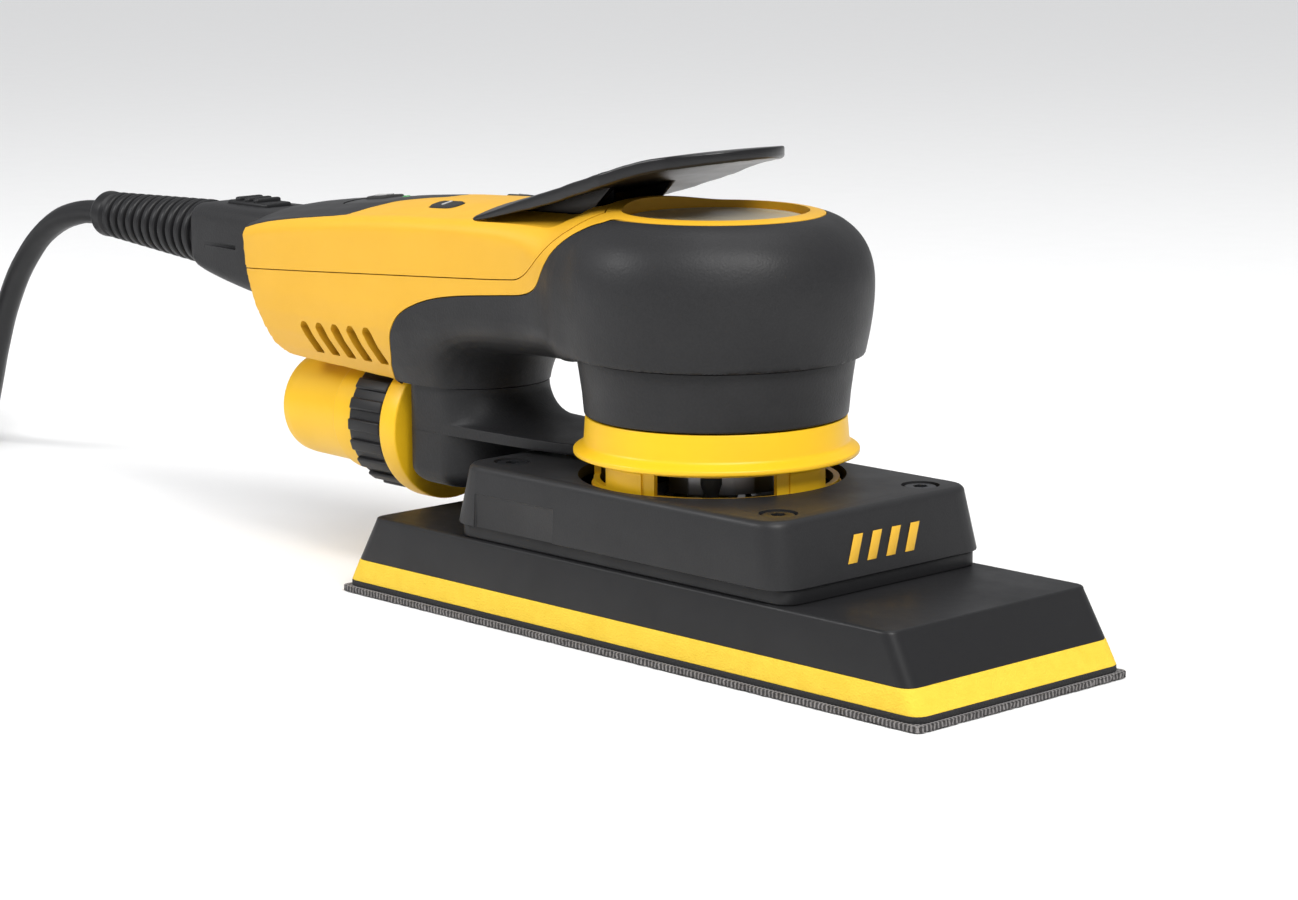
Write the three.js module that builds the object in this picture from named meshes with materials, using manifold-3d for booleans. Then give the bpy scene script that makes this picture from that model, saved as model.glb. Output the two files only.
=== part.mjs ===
// Orbital sander with a 70 x 198 mm pad, a palm-grip head, a paddle lever and a rear dust port.
// Millimetres, +Z up, +X forwards. The origin is on the spindle axis, at the abrasive's lower face.
import * as THREE from "three";
import { mergeVertices } from "three/addons/utils/BufferGeometryUtils.js";
import Module from "manifold-3d";

const wasm = await Module();
wasm.setup();

// ---------- driving dimensions ----------
const GAP = 0.3; // clearance between two pieces that touch
const ORBIT = 1.5; // eccentric offset: a 3 mm orbit
const SIDES = 32; // facets round a large cylinder

const PAD = { length: 198, width: 70, slopeX: 0.518, slopeY: 0.062, corner: 4 };
const LAYER = { abrasive: 1.5, hook: 1.5, foam: 5.7, plate: 11.7, spacer: 3.6, housing: 15.3 };
const ABRASIVE_LIP = 1.3; // how far the abrasive stands out of the foam
const PLATE_LENGTH_CUT = 0.2; // the plate starts this much shorter than the foam's top
const SPACER = { length: 114.8, width: 65.4, corner: 5 };
const HOUSING = { length: 116.2, width: 70, slopeX: 0.229, slopeY: 0.052, corner: 8, wall: 2.4, roof: 2.6 };
const HOUSING_BOLTS = { x: 46, y: 24, hole: 2.3, sink: 4.6, depth: 1.8 };
const DUST_HOLES = { near: 40, far: 72, y: 17, radius: 5 };

const COLLAR = {
  radius: 30.2, wall: 2, flange: 34.6, neck: 31.6, floor: 36.2, skirt: 44, lip: 47, top: 54.2,
};
const COLLAR_RUN = 2.3; // radial room round the collar in the housing's hole
const WINDOWS = [[-74, -16], [16, 74], [107, 141], [-141, -107]]; // degrees round the collar
const WINDOW = { floor: 38.8, roof: 43.8 };

const HEAD = {
  base: 69.1, skirtTop: 68.8, rim: 102.5, rimRadius: 26.4, top: 103.2, wall: 3.2, skin: 1.4,
  recess: 22.5, floor: 100.6,
};
const BODY = { wall: 2.6, columnRear: -98.7, columnFront: -70, columnHalf: 17, columnSeam: 52.6 };
const DUCT = { floor: 26.5, armFloor: 40.6, armTop: 44.6, wall: 2.6 };
const PORT = {
  z: 39, arch: 20.9, flange: 19.5, ring: 18.6, tube: 13.7, bore: 11.8, collar: 15.6, seal: 13.2,
};
const PORT_X = { flange: -99, ringFront: -106, ringRear: -120.6, step: -130, end: -154 };
const RING_RIBS = 20;

const LEVER = {
  pivotX: -58, pivotZ: 95.2, pin: 1.5, rear: -63.5, tail: 23, disc: 21, discX: -6.5, cheek: 11, cheekWall: 2,
};
const POCKET = { rear: -63, front: -25.5, half: 12.2, recess: 1 };
const SPRING = { x: -46, z0: 92.9, radius: 3, wire: 0.45, turns: 4, length: 9.6 };

const SPINDLE = { shaft: 4, bore: 4.3, journal: 6, top: 97.4 };
const BEARING = { inner: 6.6, race: 8.3, outer: 11, height: 5 };
const PAD_BEARING = { inner: 8, race: 9.6, outer: 12, height: 7, z: 26.6 };
const MOTOR = { z: 63, height: 23, rotor: 13.6, bore: 14.3, outer: 26, winding: 3.6 };

const CORD = { diameter: 7, exitZ: 82.8 };
const COIL = { x: -418, y: -22, mean: 42, across: 28, height: 28 };
const BOOT = { front: -201.5, rear: -256, ribs: 11, big: 9.2, small: 6.6 };

// ---------- levels that follow from them ----------
const Z = {};
Z.hook = LAYER.abrasive;
Z.foam = Z.hook + LAYER.hook;
Z.plate = Z.foam + LAYER.foam;
Z.spacer = Z.plate + LAYER.plate;
Z.housing = Z.spacer + LAYER.spacer;
Z.roof = Z.housing + LAYER.housing;

// ---------- solids ----------
/** A closed geometry as a solid with its faces pointing out. */
function solid(geometry) {
  const bare = new THREE.BufferGeometry();
  bare.setAttribute("position", geometry.getAttribute("position"));
  if (geometry.index) bare.setIndex(geometry.index);
  const merged = mergeVertices(bare, 1e-4);
  const position = merged.attributes.position.array;
  const index = new Uint32Array(merged.index.array);
  const kept = [];
  for (let i = 0; i < index.length; i += 3) {
    const [a, b, c] = index.subarray(i, i + 3);
    if (a !== b && b !== c && a !== c) kept.push(a, b, c);
  }
  const make = (triangles) =>
    new wasm.Manifold(
      new wasm.Mesh({ numProp: 3, vertProperties: position, triVerts: new Uint32Array(triangles) }),
    );
  const made = make(kept);
  if (made.volume() > 0) return made;
  const turned = [];
  for (let i = 0; i < kept.length; i += 3) turned.push(kept[i], kept[i + 2], kept[i + 1]);
  return make(turned);
}

/** A solid back as a geometry. */
function geometryOf(shape) {
  const mesh = shape.getMesh();
  const step = mesh.numProp;
  const position = new Float32Array(mesh.numVert * 3);
  for (let i = 0; i < mesh.numVert; i++) {
    position.set(mesh.vertProperties.subarray(i * step, i * step + 3), i * 3);
  }
  return new THREE.BufferGeometry()
    .setAttribute("position", new THREE.BufferAttribute(position, 3))
    .setIndex(new THREE.BufferAttribute(mesh.triVerts, 1));
}

const join = (...shapes) => shapes.reduce((all, one) => all.add(one));
const cut = (shape, ...tools) => tools.reduce((rest, tool) => rest.subtract(tool), shape);
/** The biggest body of a shape: offcuts that a cut leaves loose are dropped. */
const largest = (shape) => shape.decompose().sort((a, b) => b.volume() - a.volume())[0];

/** A solid of revolution about Z from [radius, z] points. */
function revolve(points, sides = SIDES) {
  const profile = points.map(([r, z]) => new THREE.Vector2(r, z));
  return solid(new THREE.LatheGeometry(profile, sides).rotateX(Math.PI / 2));
}

/** A plain or hollow cylinder about Z. */
function tube(outer, inner, z0, z1, sides = SIDES) {
  return inner > 0
    ? revolve([[inner, z0], [outer, z0], [outer, z1], [inner, z1], [inner, z0]], sides)
    : revolve([[0, z0], [outer, z0], [outer, z1], [0, z1]], sides);
}

/** A box from its lowest to its highest corner. */
function box(x0, x1, y0, y1, z0, z1) {
  const shape = new THREE.BoxGeometry(x1 - x0, y1 - y0, z1 - z0);
  return solid(shape.translate((x0 + x1) / 2, (y0 + y1) / 2, (z0 + z1) / 2));
}

const shapeOf = (points) => new THREE.Shape(points.map(([a, b]) => new THREE.Vector2(a, b)));

/** An outline in plan, extruded from z0 to z1. */
function prismUp(outline, z0, z1) {
  const shape = Array.isArray(outline) ? shapeOf(outline) : outline;
  const made = new THREE.ExtrudeGeometry(shape, { depth: z1 - z0, bevelEnabled: false, curveSegments: 5 });
  return solid(made.translate(0, 0, z0));
}

/** An outline in the side view, as [x, z] points, extruded across from y0 to y1. */
function prismAcross(outline, y0, y1) {
  const made = new THREE.ExtrudeGeometry(shapeOf(outline), { depth: y1 - y0, bevelEnabled: false });
  return solid(made.rotateX(Math.PI / 2).translate(0, y1, 0));
}

/** Rings of [x, y, z] points, all of one length, joined into a closed solid with flat ends. */
function loft(rings) {
  const count = rings[0].length;
  const position = rings.flat(2);
  const index = [];
  rings.slice(1).forEach((_, k) => {
    for (let i = 0; i < count; i++) {
      const a = k * count + i;
      const b = k * count + ((i + 1) % count);
      index.push(a, b, a + count, b, b + count, a + count);
    }
  });
  [0, rings.length - 1].forEach((k) => {
    const ring = rings[k];
    const centre = [0, 1, 2].map((axis) => ring.reduce((sum, p) => sum + p[axis], 0) / count);
    const c = position.length / 3;
    position.push(...centre);
    for (let i = 0; i < count; i++) {
      const [a, b] = [k * count + i, k * count + ((i + 1) % count)];
      index.push(...(k === 0 ? [b, a, c] : [a, b, c]));
    }
  });
  return solid(
    new THREE.BufferGeometry()
      .setAttribute("position", new THREE.Float32BufferAttribute(position, 3))
      .setIndex(index),
  );
}

/** A rectangle with round corners, centred on (x, y), as plan points. */
function roundedBox(length, width, corner, x = 0, y = 0, steps = 4) {
  const points = [];
  [[1, 1], [-1, 1], [-1, -1], [1, -1]].forEach(([sx, sy], quarter) => {
    for (let i = 0; i <= steps; i++) {
      const turn = ((quarter + i / steps) * Math.PI) / 2;
      points.push([
        x + sx * (length / 2 - corner) + corner * Math.cos(turn),
        y + sy * (width / 2 - corner) + corner * Math.sin(turn),
      ]);
    }
  });
  return points;
}

/** A block whose sides lean in from its lower outline to its upper one. */
function tapered(length, width, corner, slopeX, slopeY, z0, z1, x = 0) {
  const rise = z1 - z0;
  const low = roundedBox(length, width, corner, x);
  const high = roundedBox(length - 2 * slopeX * rise, width - 2 * slopeY * rise, corner, x);
  return loft([low.map(([a, b]) => [a, b, z0]), high.map(([a, b]) => [a, b, z1])]);
}

/** A round hole tool about Z. */
const drill = (x, y, radius, z0, z1, sides = 12) => tube(radius, 0, z0, z1, sides).translate([x, y, 0]);

/** A row of points moved sideways by a distance, to its left as it runs. */
function offsetLine(points, distance) {
  return points.map(([a, b], i) => {
    const before = points[Math.max(i - 1, 0)];
    const after = points[Math.min(i + 1, points.length - 1)];
    const run = Math.hypot(after[0] - before[0], after[1] - before[1]);
    return [
      a - (distance * (after[1] - before[1])) / run,
      b + (distance * (after[0] - before[0])) / run,
    ];
  });
}

/** Turns a solid made about Z so that its axis runs towards -X, and sets it at the port's height. */
const onPortAxis = (shape) => shape.rotate([0, -90, 0]).translate([0, 0, PORT.z]);

// ---------- the finished object ----------
const sander = new THREE.Group();
const paint = {
  yellow: [0xe0a524, 0.42, 0], foam: [0xe2bd33, 0.6, 0], rubber: [0x232324, 0.72, 0],
  black: [0x1b1c1e, 0.5, 0], steel: [0xa9adb2, 0.3, 1], dark: [0x3a3c40, 0.4, 1],
  copper: [0xa8602c, 0.4, 1], grit: [0x8f8886, 0.9, 0], board: [0x1f5a34, 0.5, 0],
  label: [0xb9b4a6, 0.4, 0], lens: [0x6fd06a, 0.2, 0],
};
/** Adds a solid to the object as a named piece. */
function piece(name, shape, finish) {
  const [color, roughness, metalness] = paint[finish];
  const mesh = new THREE.Mesh(
    geometryOf(shape),
    new THREE.MeshStandardMaterial({ color, roughness, metalness }),
  );
  mesh.name = name;
  sander.add(mesh);
}

// ---------- the body's outer form ----------
// Head profile from the skirt's step to the top rim: radius, height.
const HEAD_PROFILE = [
  [35.8, 69.1], [37, 75], [37.7, 80], [38, 84.6], [37.8, 89.3], [36.5, 94], [34.1, 97.8],
  [30.4, 100.9], [26.5, 102.5], [23.5, 103.2],
];
// Stations along the rear body and neck: x, half width, crown height, lower height,
// the upper corner's radius, and the lower corner's width and height.
const STATIONS = [
  [-166, 20.5, 91, 46, 4, 19, 26], [-150, 22.6, 94.2, 46, 4, 21, 26], [-125, 24.2, 97.2, 46, 4, 23, 26],
  [-97, 25, 99.6, 46, 4, 24, 26], [-84, 25.2, 100.3, 48, 4, 24, 25], [-76, 25.3, 100.7, 57, 4, 22, 14],
  [-68, 25.4, 101.1, 61.8, 4, 21, 11], [-52, 25.8, 102, 63.2, 5, 21, 10.5],
  [-40, 26.8, 102.5, 63.6, 7, 21, 10.5],
  [-31, 28.8, 102.8, 64.5, 11, 22, 9.5], [-22, 31.8, 102.9, 66, 15, 22, 7], [-10, 34, 102.9, 68.8, 18, 10, 3],
];
const CROWN = 3.2; // how much higher the middle of the top is than its edges

/** One cross-section of the rear body, drawn in by an inset. */
function bodyRing([x, half, top, low, corner, lowWidth, lowHeight], inset) {
  const w = half - inset;
  const crown = top - inset;
  const edge = crown - CROWN;
  const floor = low + inset;
  const ring = [];
  const steps = 3;
  const arc = (cy, cz, ry, rz, from) => {
    for (let i = 0; i <= steps; i++) {
      const turn = from + ((i / steps) * Math.PI) / 2;
      ring.push([x, cy + ry * Math.cos(turn), cz + rz * Math.sin(turn)]);
    }
  };
  arc(w - corner, edge - corner, corner, corner, 0);
  ring.push(
    [x, (w - corner) / 2, crown - CROWN / 4],
    [x, 0, crown],
    [x, (corner - w) / 2, crown - CROWN / 4],
  );
  arc(corner - w, edge - corner, corner, corner, Math.PI / 2);
  arc(lowWidth - w, floor + lowHeight, lowWidth, lowHeight, Math.PI);
  arc(w - lowWidth, floor + lowHeight, lowWidth, lowHeight, 1.5 * Math.PI);
  return ring;
}

// The rear end's outline in the side view, from the crown down to the lower edge.
const REAR_EDGE = [
  [-160, 96], [-160, 86], [-159, 79], [-156.2, 72], [-152.3, 63.2], [-149.6, 57.2], [-145.5, 54.8],
];
const LOWER_EDGE = [[-97, 52.9], [-46, 52.9]];

/** The rear body with its lower edge and slanted rear end, drawn in by an inset. */
function rearBody(inset) {
  const rings = STATIONS.map((station) => bodyRing(station, inset));
  const end = REAR_EDGE.map(([x, z], i) => [x + inset, z + (i > 3 ? inset : 0)]);
  const outline = [
    ...end, ...LOWER_EDGE.map(([x, z]) => [x, z + inset]), [5, 52.9 + inset], [5, 110],
    [-160 + inset, 110],
  ];
  return loft(rings).intersect(prismAcross(outline, -60, 60));
}

/** The column's outline in plan: round rear corners, straight sides and an elliptical nose. */
function columnPlan(inset) {
  const rear = BODY.columnRear + inset;
  const half = BODY.columnHalf - inset;
  const noseStart = -84;
  const nose = BODY.columnFront - inset - noseStart;
  const corner = 6;
  const points = [];
  for (let i = 0; i <= 8; i++) {
    const turn = -Math.PI / 2 + (i / 8) * Math.PI;
    points.push([noseStart + nose * Math.cos(turn), half * Math.sin(turn)]);
  }
  for (let i = 0; i <= 3; i++) {
    const turn = Math.PI / 2 + ((i / 3) * Math.PI) / 2;
    points.push([rear + corner + corner * Math.cos(turn), half - corner + corner * Math.sin(turn)]);
  }
  for (let i = 0; i <= 3; i++) {
    const turn = Math.PI + ((i / 3) * Math.PI) / 2;
    points.push([rear + corner + corner * Math.cos(turn), corner - half + corner * Math.sin(turn)]);
  }
  return points;
}

/** The head as a solid of revolution, drawn in by an inset. */
function head(inset) {
  const line = offsetLine(HEAD_PROFILE, inset);
  return revolve([[0, HEAD.base], [line[0][0], HEAD.base], ...line.slice(1), [0, HEAD.top - inset]]);
}
/** Head, rear body and column in one, drawn in by an inset. */
const form = (inset) =>
  join(head(inset), rearBody(inset), prismUp(columnPlan(inset), BODY.columnSeam + GAP, 72));
const outer = form(0);
const underSkin = form(HEAD.skin);
const lining = form(HEAD.skin + GAP);
const headRoom = revolve([
  [0, 60], [32.4, 60], [32.6, 70], ...HEAD_PROFILE.slice(2, 7).map(([r, z]) => [r - HEAD.wall, z]),
  [30, 98], [0, 98],
]);
const columnRoom = prismUp(columnPlan(BODY.wall + 0.4), 50, 72);
const skirtRoom = tube(34.4, 0, 40, HEAD.base);
const hollow = join(headRoom, rearBody(BODY.wall + 0.4), columnRoom, skirtRoom);
// The underside of the rear body is arched to clear the dust port.
const archAt = (radius) => onPortAxis(tube(radius, 0, -BODY.columnRear + 0.1, 175, 24));
const casing = cut(outer, cut(hollow, archAt(PORT.arch + BODY.wall)), archAt(PORT.arch));

// ---------- parting lines in the side view ----------
const SEAM = [
  [-170, 76.4], [-110, 80.4], [-66, 83.2], [-48, 84.5], [-41, 85.6], [-35, 89.4], [-28, 95.4],
  [-22, 99.6], [-14, 106],
];
const GRIP_EDGE = [
  [-101.6, 50], [-98.6, 56], [-95.8, 61.2], [-94, 66.4], [-89.4, 71.8], [-80, 75.9], [-68, 78.4], [-50, 80.4],
  [-40, 81.6], [-34, 83.8], [-30, 88], [-25, 94], [-19, 98.4], [-11, 101.4], [-2, 102.5], [50, 102.5],
];
const above = (line) => prismAcross([...line, [60, 120], [-180, 120]], -60, 60);
const below = (line) => prismAcross([...line, [50, 40], [-101.6, 40]], -60, 60);
const rimDisc = (radius) => tube(radius, 0, 95, 110);
const overSeam = cut(above(offsetLine(SEAM, GAP / 2)), rimDisc(HEAD.rimRadius + GAP));
const wholeSpace = box(-180, 60, -60, 60, 30, 120);
const underSeam = join(cut(wholeSpace, above(offsetLine(SEAM, -GAP / 2))), rimDisc(HEAD.rimRadius));
const gripZone = cut(below(offsetLine(GRIP_EDGE, -GAP / 2)), rimDisc(HEAD.rimRadius + GAP / 2));
const gripRoom = cut(below(offsetLine(GRIP_EDGE, GAP / 2)), rimDisc(HEAD.rimRadius - GAP / 2));

// ---------- rear cover, control panel and buttons ----------
// Half of the rear cover's plan, from its rear end to the tip of its tongue.
const COVER_EDGE = [
  [-170, 19.2], [-150, 20.8], [-119, 21.6], [-114.5, 19.6], [-111, 14.5], [-107, 9], [-101, 6.2],
  [-95.5, 4], [-94, 1.5],
];
/** The rear cover's plan, drawn out by a margin. */
function coverPlan(margin) {
  const side = COVER_EDGE.map(([x, y], i) => [x + (i > 3 ? margin : 0), y + margin]);
  return [...side.map(([x, y]) => [x, -y]), ...side.reverse()];
}
const PANEL = { x0: -131, x1: -112, half: 11, corner: 4, depth: 1.2 };
const BUTTONS = [
  { name: "on_off_button", x: -125, y: 0, length: 8.4, width: 8.4, flange: 93.2 },
  { name: "speed_down_button", x: -84, y: -13, length: 10, width: 5.6, flange: 93.9 },
  { name: "speed_up_button", x: -84, y: 13, length: 10, width: 5.6, flange: 93.9 },
];
const BUTTON_RISE = 0.5;
const LED = { x: -116, radius: 1.2 };
/** A button's plan with a margin round it. */
const buttonPlan = ({ x, y, length, width }, margin) =>
  roundedBox(length + 2 * margin, width + 2 * margin, width / 2 + margin - 0.1, x, y, 4);
const buttonWells = join(
  ...BUTTONS.map((button) => prismUp(buttonPlan(button, GAP), 80, 110)),
  drill(LED.x, 0, LED.radius + GAP, 80, 110, 8),
);
const coverZone = prismUp(coverPlan(0), 86, 110);
const coverRoom = prismUp(coverPlan(GAP), 86 - GAP, 110);
const panelPlan = (margin) => {
  const { x0, x1, half, corner } = PANEL;
  return roundedBox(x1 - x0 + 2 * margin, 2 * (half + margin), corner + margin, (x0 + x1) / 2, 0);
};
const lowered = (depth) => outer.translate([0, 0, -depth]);
const panelPocket = cut(prismUp(panelPlan(GAP), 80, 110), lowered(PANEL.depth + GAP));
const panel = cut(prismUp(panelPlan(0), 86, 110).intersect(outer), lowered(PANEL.depth), buttonWells);

// ---------- lever pocket, pin bosses and rear opening ----------
/** The lever's plan with a margin: a broad rear end, straight sides and a round front. */
function leverPlan(margin) {
  const reach = LEVER.disc + margin;
  const points = [[LEVER.rear - margin, LEVER.tail + margin], [LEVER.rear - margin, -LEVER.tail - margin]];
  for (let i = 0; i <= 14; i++) {
    const turn = Math.PI * (i / 14 - 0.5);
    points.push([LEVER.discX + reach * Math.cos(turn), reach * Math.sin(turn)]);
  }
  return points;
}
const pocket = box(POCKET.rear, POCKET.front, -POCKET.half, POCKET.half, 88, 110);
const recess = cut(
  prismUp(leverPlan(0.6), 80, 125).intersect(box(LEVER.rear - 1, -30, -40, 40, 80, 125)),
  lowered(POCKET.recess),
);
const acrossPin = (radius, half) =>
  tube(radius, 0, -half, half, 12).rotate([90, 0, 0]).translate([LEVER.pivotX, 0, LEVER.pivotZ]);
const bosses = join(
  ...[-1, 1].map((side) => {
    const ends = [POCKET.half + GAP, POCKET.half + 4].map((y) => side * y);
    return box(LEVER.pivotX - 4, LEVER.pivotX + 4, Math.min(...ends), Math.max(...ends), 91.6, 97.8);
  }),
);
const connectorHole = box(-170, -150, -11.4, 11.4, 68.6, 88.4);

const upperShell = cut(
  join(casing.intersect(overSeam), bosses),
  coverRoom, pocket, recess, acrossPin(LEVER.pin + GAP, 15), connectorHole, buttonWells,
);
piece("upper_shell", upperShell, "yellow");
piece("rear_cover", cut(casing.intersect(coverZone), panelPocket, buttonWells, connectorHole), "black");
piece("control_panel", panel, "black");

// Air slots in both sides of the lower shell, leaning forwards as they go down.
const SLOT = { count: 5, x: -131.8, pitch: 6.9, lean: 3.6, top: 65.6, bottom: 57.2, width: 3.9 };
const slots = join(
  ...Array.from({ length: SLOT.count }, (_, i) => {
    const [x, w] = [SLOT.x + i * SLOT.pitch, SLOT.width / 2];
    const rise = (i * 1.2) / (SLOT.count - 1);
    const outline = [
      [x - w, SLOT.top - 1.5 + rise], [x - w * 0.3, SLOT.top + rise], [x + w * 0.6, SLOT.top + rise],
      [x + w, SLOT.top - 1.2 + rise], [x + SLOT.lean + w, SLOT.bottom], [x + SLOT.lean - w, SLOT.bottom],
    ].reverse();
    return prismAcross(outline, -60, 60);
  }),
);
const bearingSeat = tube(14, BEARING.outer + GAP, 90, 98.5);
const lidRecess = tube(HEAD.recess, 0, HEAD.floor, 110);
const gripCut = cut(gripRoom, lining);
const lowerShell = cut(
  join(casing.intersect(underSeam), bearingSeat),
  gripCut, slots, lidRecess, connectorHole, coverRoom,
);
piece("lower_shell", largest(lowerShell), "yellow");
piece(
  "grip_overmould",
  largest(cut(outer.intersect(gripZone), underSkin, hollow, archAt(PORT.arch))),
  "rubber",
);
piece("rating_plate", tube(HEAD.recess - 1.2, 0, HEAD.floor + GAP, HEAD.floor + 0.9, 32), "label");

// ---------- head skirt, collar and motor bracket ----------
piece(
  "head_skirt",
  revolve(
    [
      [29.8, 54.6], [31.9, 54.6], [32.4, 60], [33.1, 65], [33.7, HEAD.skirtTop], [30.6, HEAD.skirtTop],
      [29.8, 60], [29.8, 54.6],
    ]
  ),
  "rubber",
);
const windowTools = WINDOWS.map(([from, to]) => {
  const points = [[0, 0]];
  for (let i = 0; i <= 6; i++) {
    const turn = ((from + ((to - from) * i) / 6) * Math.PI) / 180;
    points.push([45 * Math.cos(turn), 45 * Math.sin(turn)]);
  }
  return prismUp(points, WINDOW.floor, WINDOW.roof);
});
const armBore = box(-40, -20, -9, 9, DUCT.armFloor + 1, DUCT.armTop - 1);
const innerWall = COLLAR.radius - COLLAR.wall;
const collarForm = revolve([
  [innerWall, COLLAR.floor], [COLLAR.radius, COLLAR.floor], [COLLAR.radius, COLLAR.skirt],
  [COLLAR.flange, COLLAR.skirt + 1.1], [COLLAR.flange, COLLAR.lip - 1], [COLLAR.neck + 0.6, COLLAR.lip + 0.6],
  [COLLAR.neck, COLLAR.top], [29.4, COLLAR.top], [29.4, COLLAR.skirt + 1.5], [innerWall, COLLAR.skirt],
  [innerWall, COLLAR.floor],
]);
piece("collar", cut(collarForm, ...windowTools, armBore), "yellow");
piece(
  "motor_bracket",
  cut(
    join(tube(29, BEARING.outer + GAP, 53.2, 55.2, 28), tube(13.6, BEARING.outer + GAP, 53.2, 59.5, 24)),
    ...[45, 135, 225, 315].map((angle) => {
      const turn = (angle * Math.PI) / 180;
      return drill(21.5 * Math.cos(turn), 21.5 * Math.sin(turn), 5, 50, 60, 10);
    }),
  ),
  "dark",
);

// ---------- dust duct and port ----------
const armPlan = [
  [-82, 16], [-82, -16], [-70, -14.5], [-56, -13], [-20, -13], [-20, 13], [-56, 13], [-70, 14.5],
];
const armInner = [[-82, 12], [-82, -12], [-70, -10.5], [-56, -9], [-20, -9], [-20, 9], [-56, 9], [-70, 10.5]];
const armTaper = prismAcross([
  [-84, DUCT.armFloor], [-20, DUCT.armFloor], [-20, DUCT.armTop - 1], [-50, DUCT.armTop - 1],
  [-60, DUCT.armTop],
  [-67, 47.6], [-72, 52.4], [-84, 52.4],
], -40, 40);
const ductLow = prismAcross([
  [-98.8, 30.5], [-93, DUCT.floor], [-66, DUCT.floor], [-66, 55], [-98.8, 55],
], -40, 40);
const ductForm = join(
  prismUp(columnPlan(0), DUCT.floor, BODY.columnSeam).intersect(ductLow),
  prismUp(armPlan, DUCT.armFloor, BODY.columnSeam).intersect(armTaper),
);
const ductRoom = join(
  prismUp(columnPlan(DUCT.wall), 29, BODY.columnSeam - DUCT.wall),
  prismUp(armInner, DUCT.armFloor + 1, DUCT.armTop - 2),
  onPortAxis(tube(PORT.bore, 0, 80, 110)),
);
const collarZone = tube(COLLAR.flange + GAP, 0, 30, 60);
piece("dust_duct", cut(ductForm, ductRoom, collarZone), "rubber");
piece(
  "duct_flange",
  onPortAxis(tube(PORT.flange, PORT.bore, -PORT_X.flange, -PORT_X.ringFront - GAP)),
  "yellow",
);
const ribs = Array.from({ length: RING_RIBS }, (_, i) => {
  const shape = box(PORT.ring - 1.4, PORT.ring, -1.3, 1.3, -PORT_X.ringFront + 0.8, -PORT_X.ringRear - 0.8);
  return shape.rotate([0, 0, (360 * i) / RING_RIBS]);
});
piece(
  "swivel_ring",
  onPortAxis(join(tube(PORT.ring - 1, PORT.collar + 0.4, -PORT_X.ringFront, -PORT_X.ringRear), ...ribs)),
  "rubber",
);
piece(
  "dust_port",
  onPortAxis(revolve([
    [PORT.bore, -PORT_X.ringFront + 2.6], [PORT.collar, -PORT_X.ringFront + 2.6], [PORT.collar, -PORT_X.step],
    [PORT.tube + 0.4, -PORT_X.step + 1], [PORT.tube, -PORT_X.end], [PORT.bore, -PORT_X.end],
    [PORT.bore, -PORT_X.ringFront + 2.6],
  ])),
  "yellow",
);
piece(
  "port_seal",
  onPortAxis(tube(PORT.seal + 1.6, PORT.seal, -PORT_X.ringFront + GAP, -PORT_X.ringFront + 2.2, 24)),
  "rubber",
);

// ---------- power lever ----------
// Stations along the lever: x, height at the middle, drop at the edges, thickness.
const LEVER_STATIONS = [
  [-64.5, 101.4, 3.7, 0.8], [-58, 103, 3.4, 1.5], [-50, 105, 2.9, 2.2], [-40, 107.5, 2.3, 3],
  [-30, 110, 1.8, 3.3], [-12, 114.5, 0.8, 3.4], [-4, 116.5, 0.5, 3.4], [3, 117.6, 0.4, 3.2],
  [16, 119, 0.4, 2.6],
];
const leverRings = LEVER_STATIONS.map(([x, top, drop, thick]) => {
  const across = [-26, -18, -9, 0, 9, 18, 26];
  const height = (y) => top - drop * (y / LEVER.tail) ** 2;
  return [...across.map((y) => [x, y, height(y)]), ...across.reverse().map((y) => [x, y, height(y) - thick])];
});
const paddle = loft(leverRings).intersect(prismUp(leverPlan(0), 80, 125));
const CHEEK = [
  [-61.5, 93.2], [-55, 92.2], [-40, 97.4], [-31, 101.8], [-29.5, 103.5], [-22, 110.4], [-30, 108.2],
  [-61.5, 100.8],
];
const cheeks = [-1, 1].map((side) => {
  const ends = [side * (LEVER.cheek - LEVER.cheekWall), side * LEVER.cheek];
  return prismAcross(CHEEK, Math.min(...ends), Math.max(...ends));
});
const plunger = tube(1.8, 0, 97.6, 106.2, 10).translate([-38, 0, 0]);
piece("power_lever", cut(join(paddle, ...cheeks, plunger), acrossPin(LEVER.pin + GAP, 20)), "black");
piece("lever_pin", acrossPin(LEVER.pin, 14.6), "steel");

/** A helix about Z as a curve. */
class Helix extends THREE.Curve {
  getPoint(t, target = new THREE.Vector3()) {
    const turn = 2 * Math.PI * SPRING.turns * t;
    const rise = SPRING.wire + t * (SPRING.length - 2 * SPRING.wire);
    return target.set(
      SPRING.x + SPRING.radius * Math.cos(turn),
      SPRING.radius * Math.sin(turn),
      SPRING.z0 + rise,
    );
  }
}
/** A round section with a number of sides. */
function roundSection(radius, sides) {
  return shapeOf(Array.from({ length: sides }, (_, i) => {
    const turn = (2 * Math.PI * i) / sides;
    return [radius * Math.cos(turn), radius * Math.sin(turn)];
  }));
}
const alongCurve = (section, curve, steps) =>
  solid(new THREE.ExtrudeGeometry(section, { steps, bevelEnabled: false, extrudePath: curve }));
piece("lever_spring", alongCurve(roundSection(SPRING.wire, 5), new Helix(), SPRING.turns * 9), "steel");
piece("lever_switch", join(box(-52, -32, -5, 5, 85, 92.4), box(-40, -36, -2, 2, 92.4, 94)), "black");

// ---------- buttons and status light ----------
const raised = outer.translate([0, 0, BUTTON_RISE]);
BUTTONS.forEach((button) => {
  const stem = prismUp(buttonPlan(button, 0), button.flange, 110).intersect(raised);
  piece(
    button.name,
    join(stem, prismUp(buttonPlan(button, 1), button.flange - 1.2, button.flange)),
    "rubber",
  );
});
piece("status_led", drill(LED.x, 0, LED.radius, 93, 110, 8).intersect(outer.translate([0, 0, 0.2])), "lens");

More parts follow.
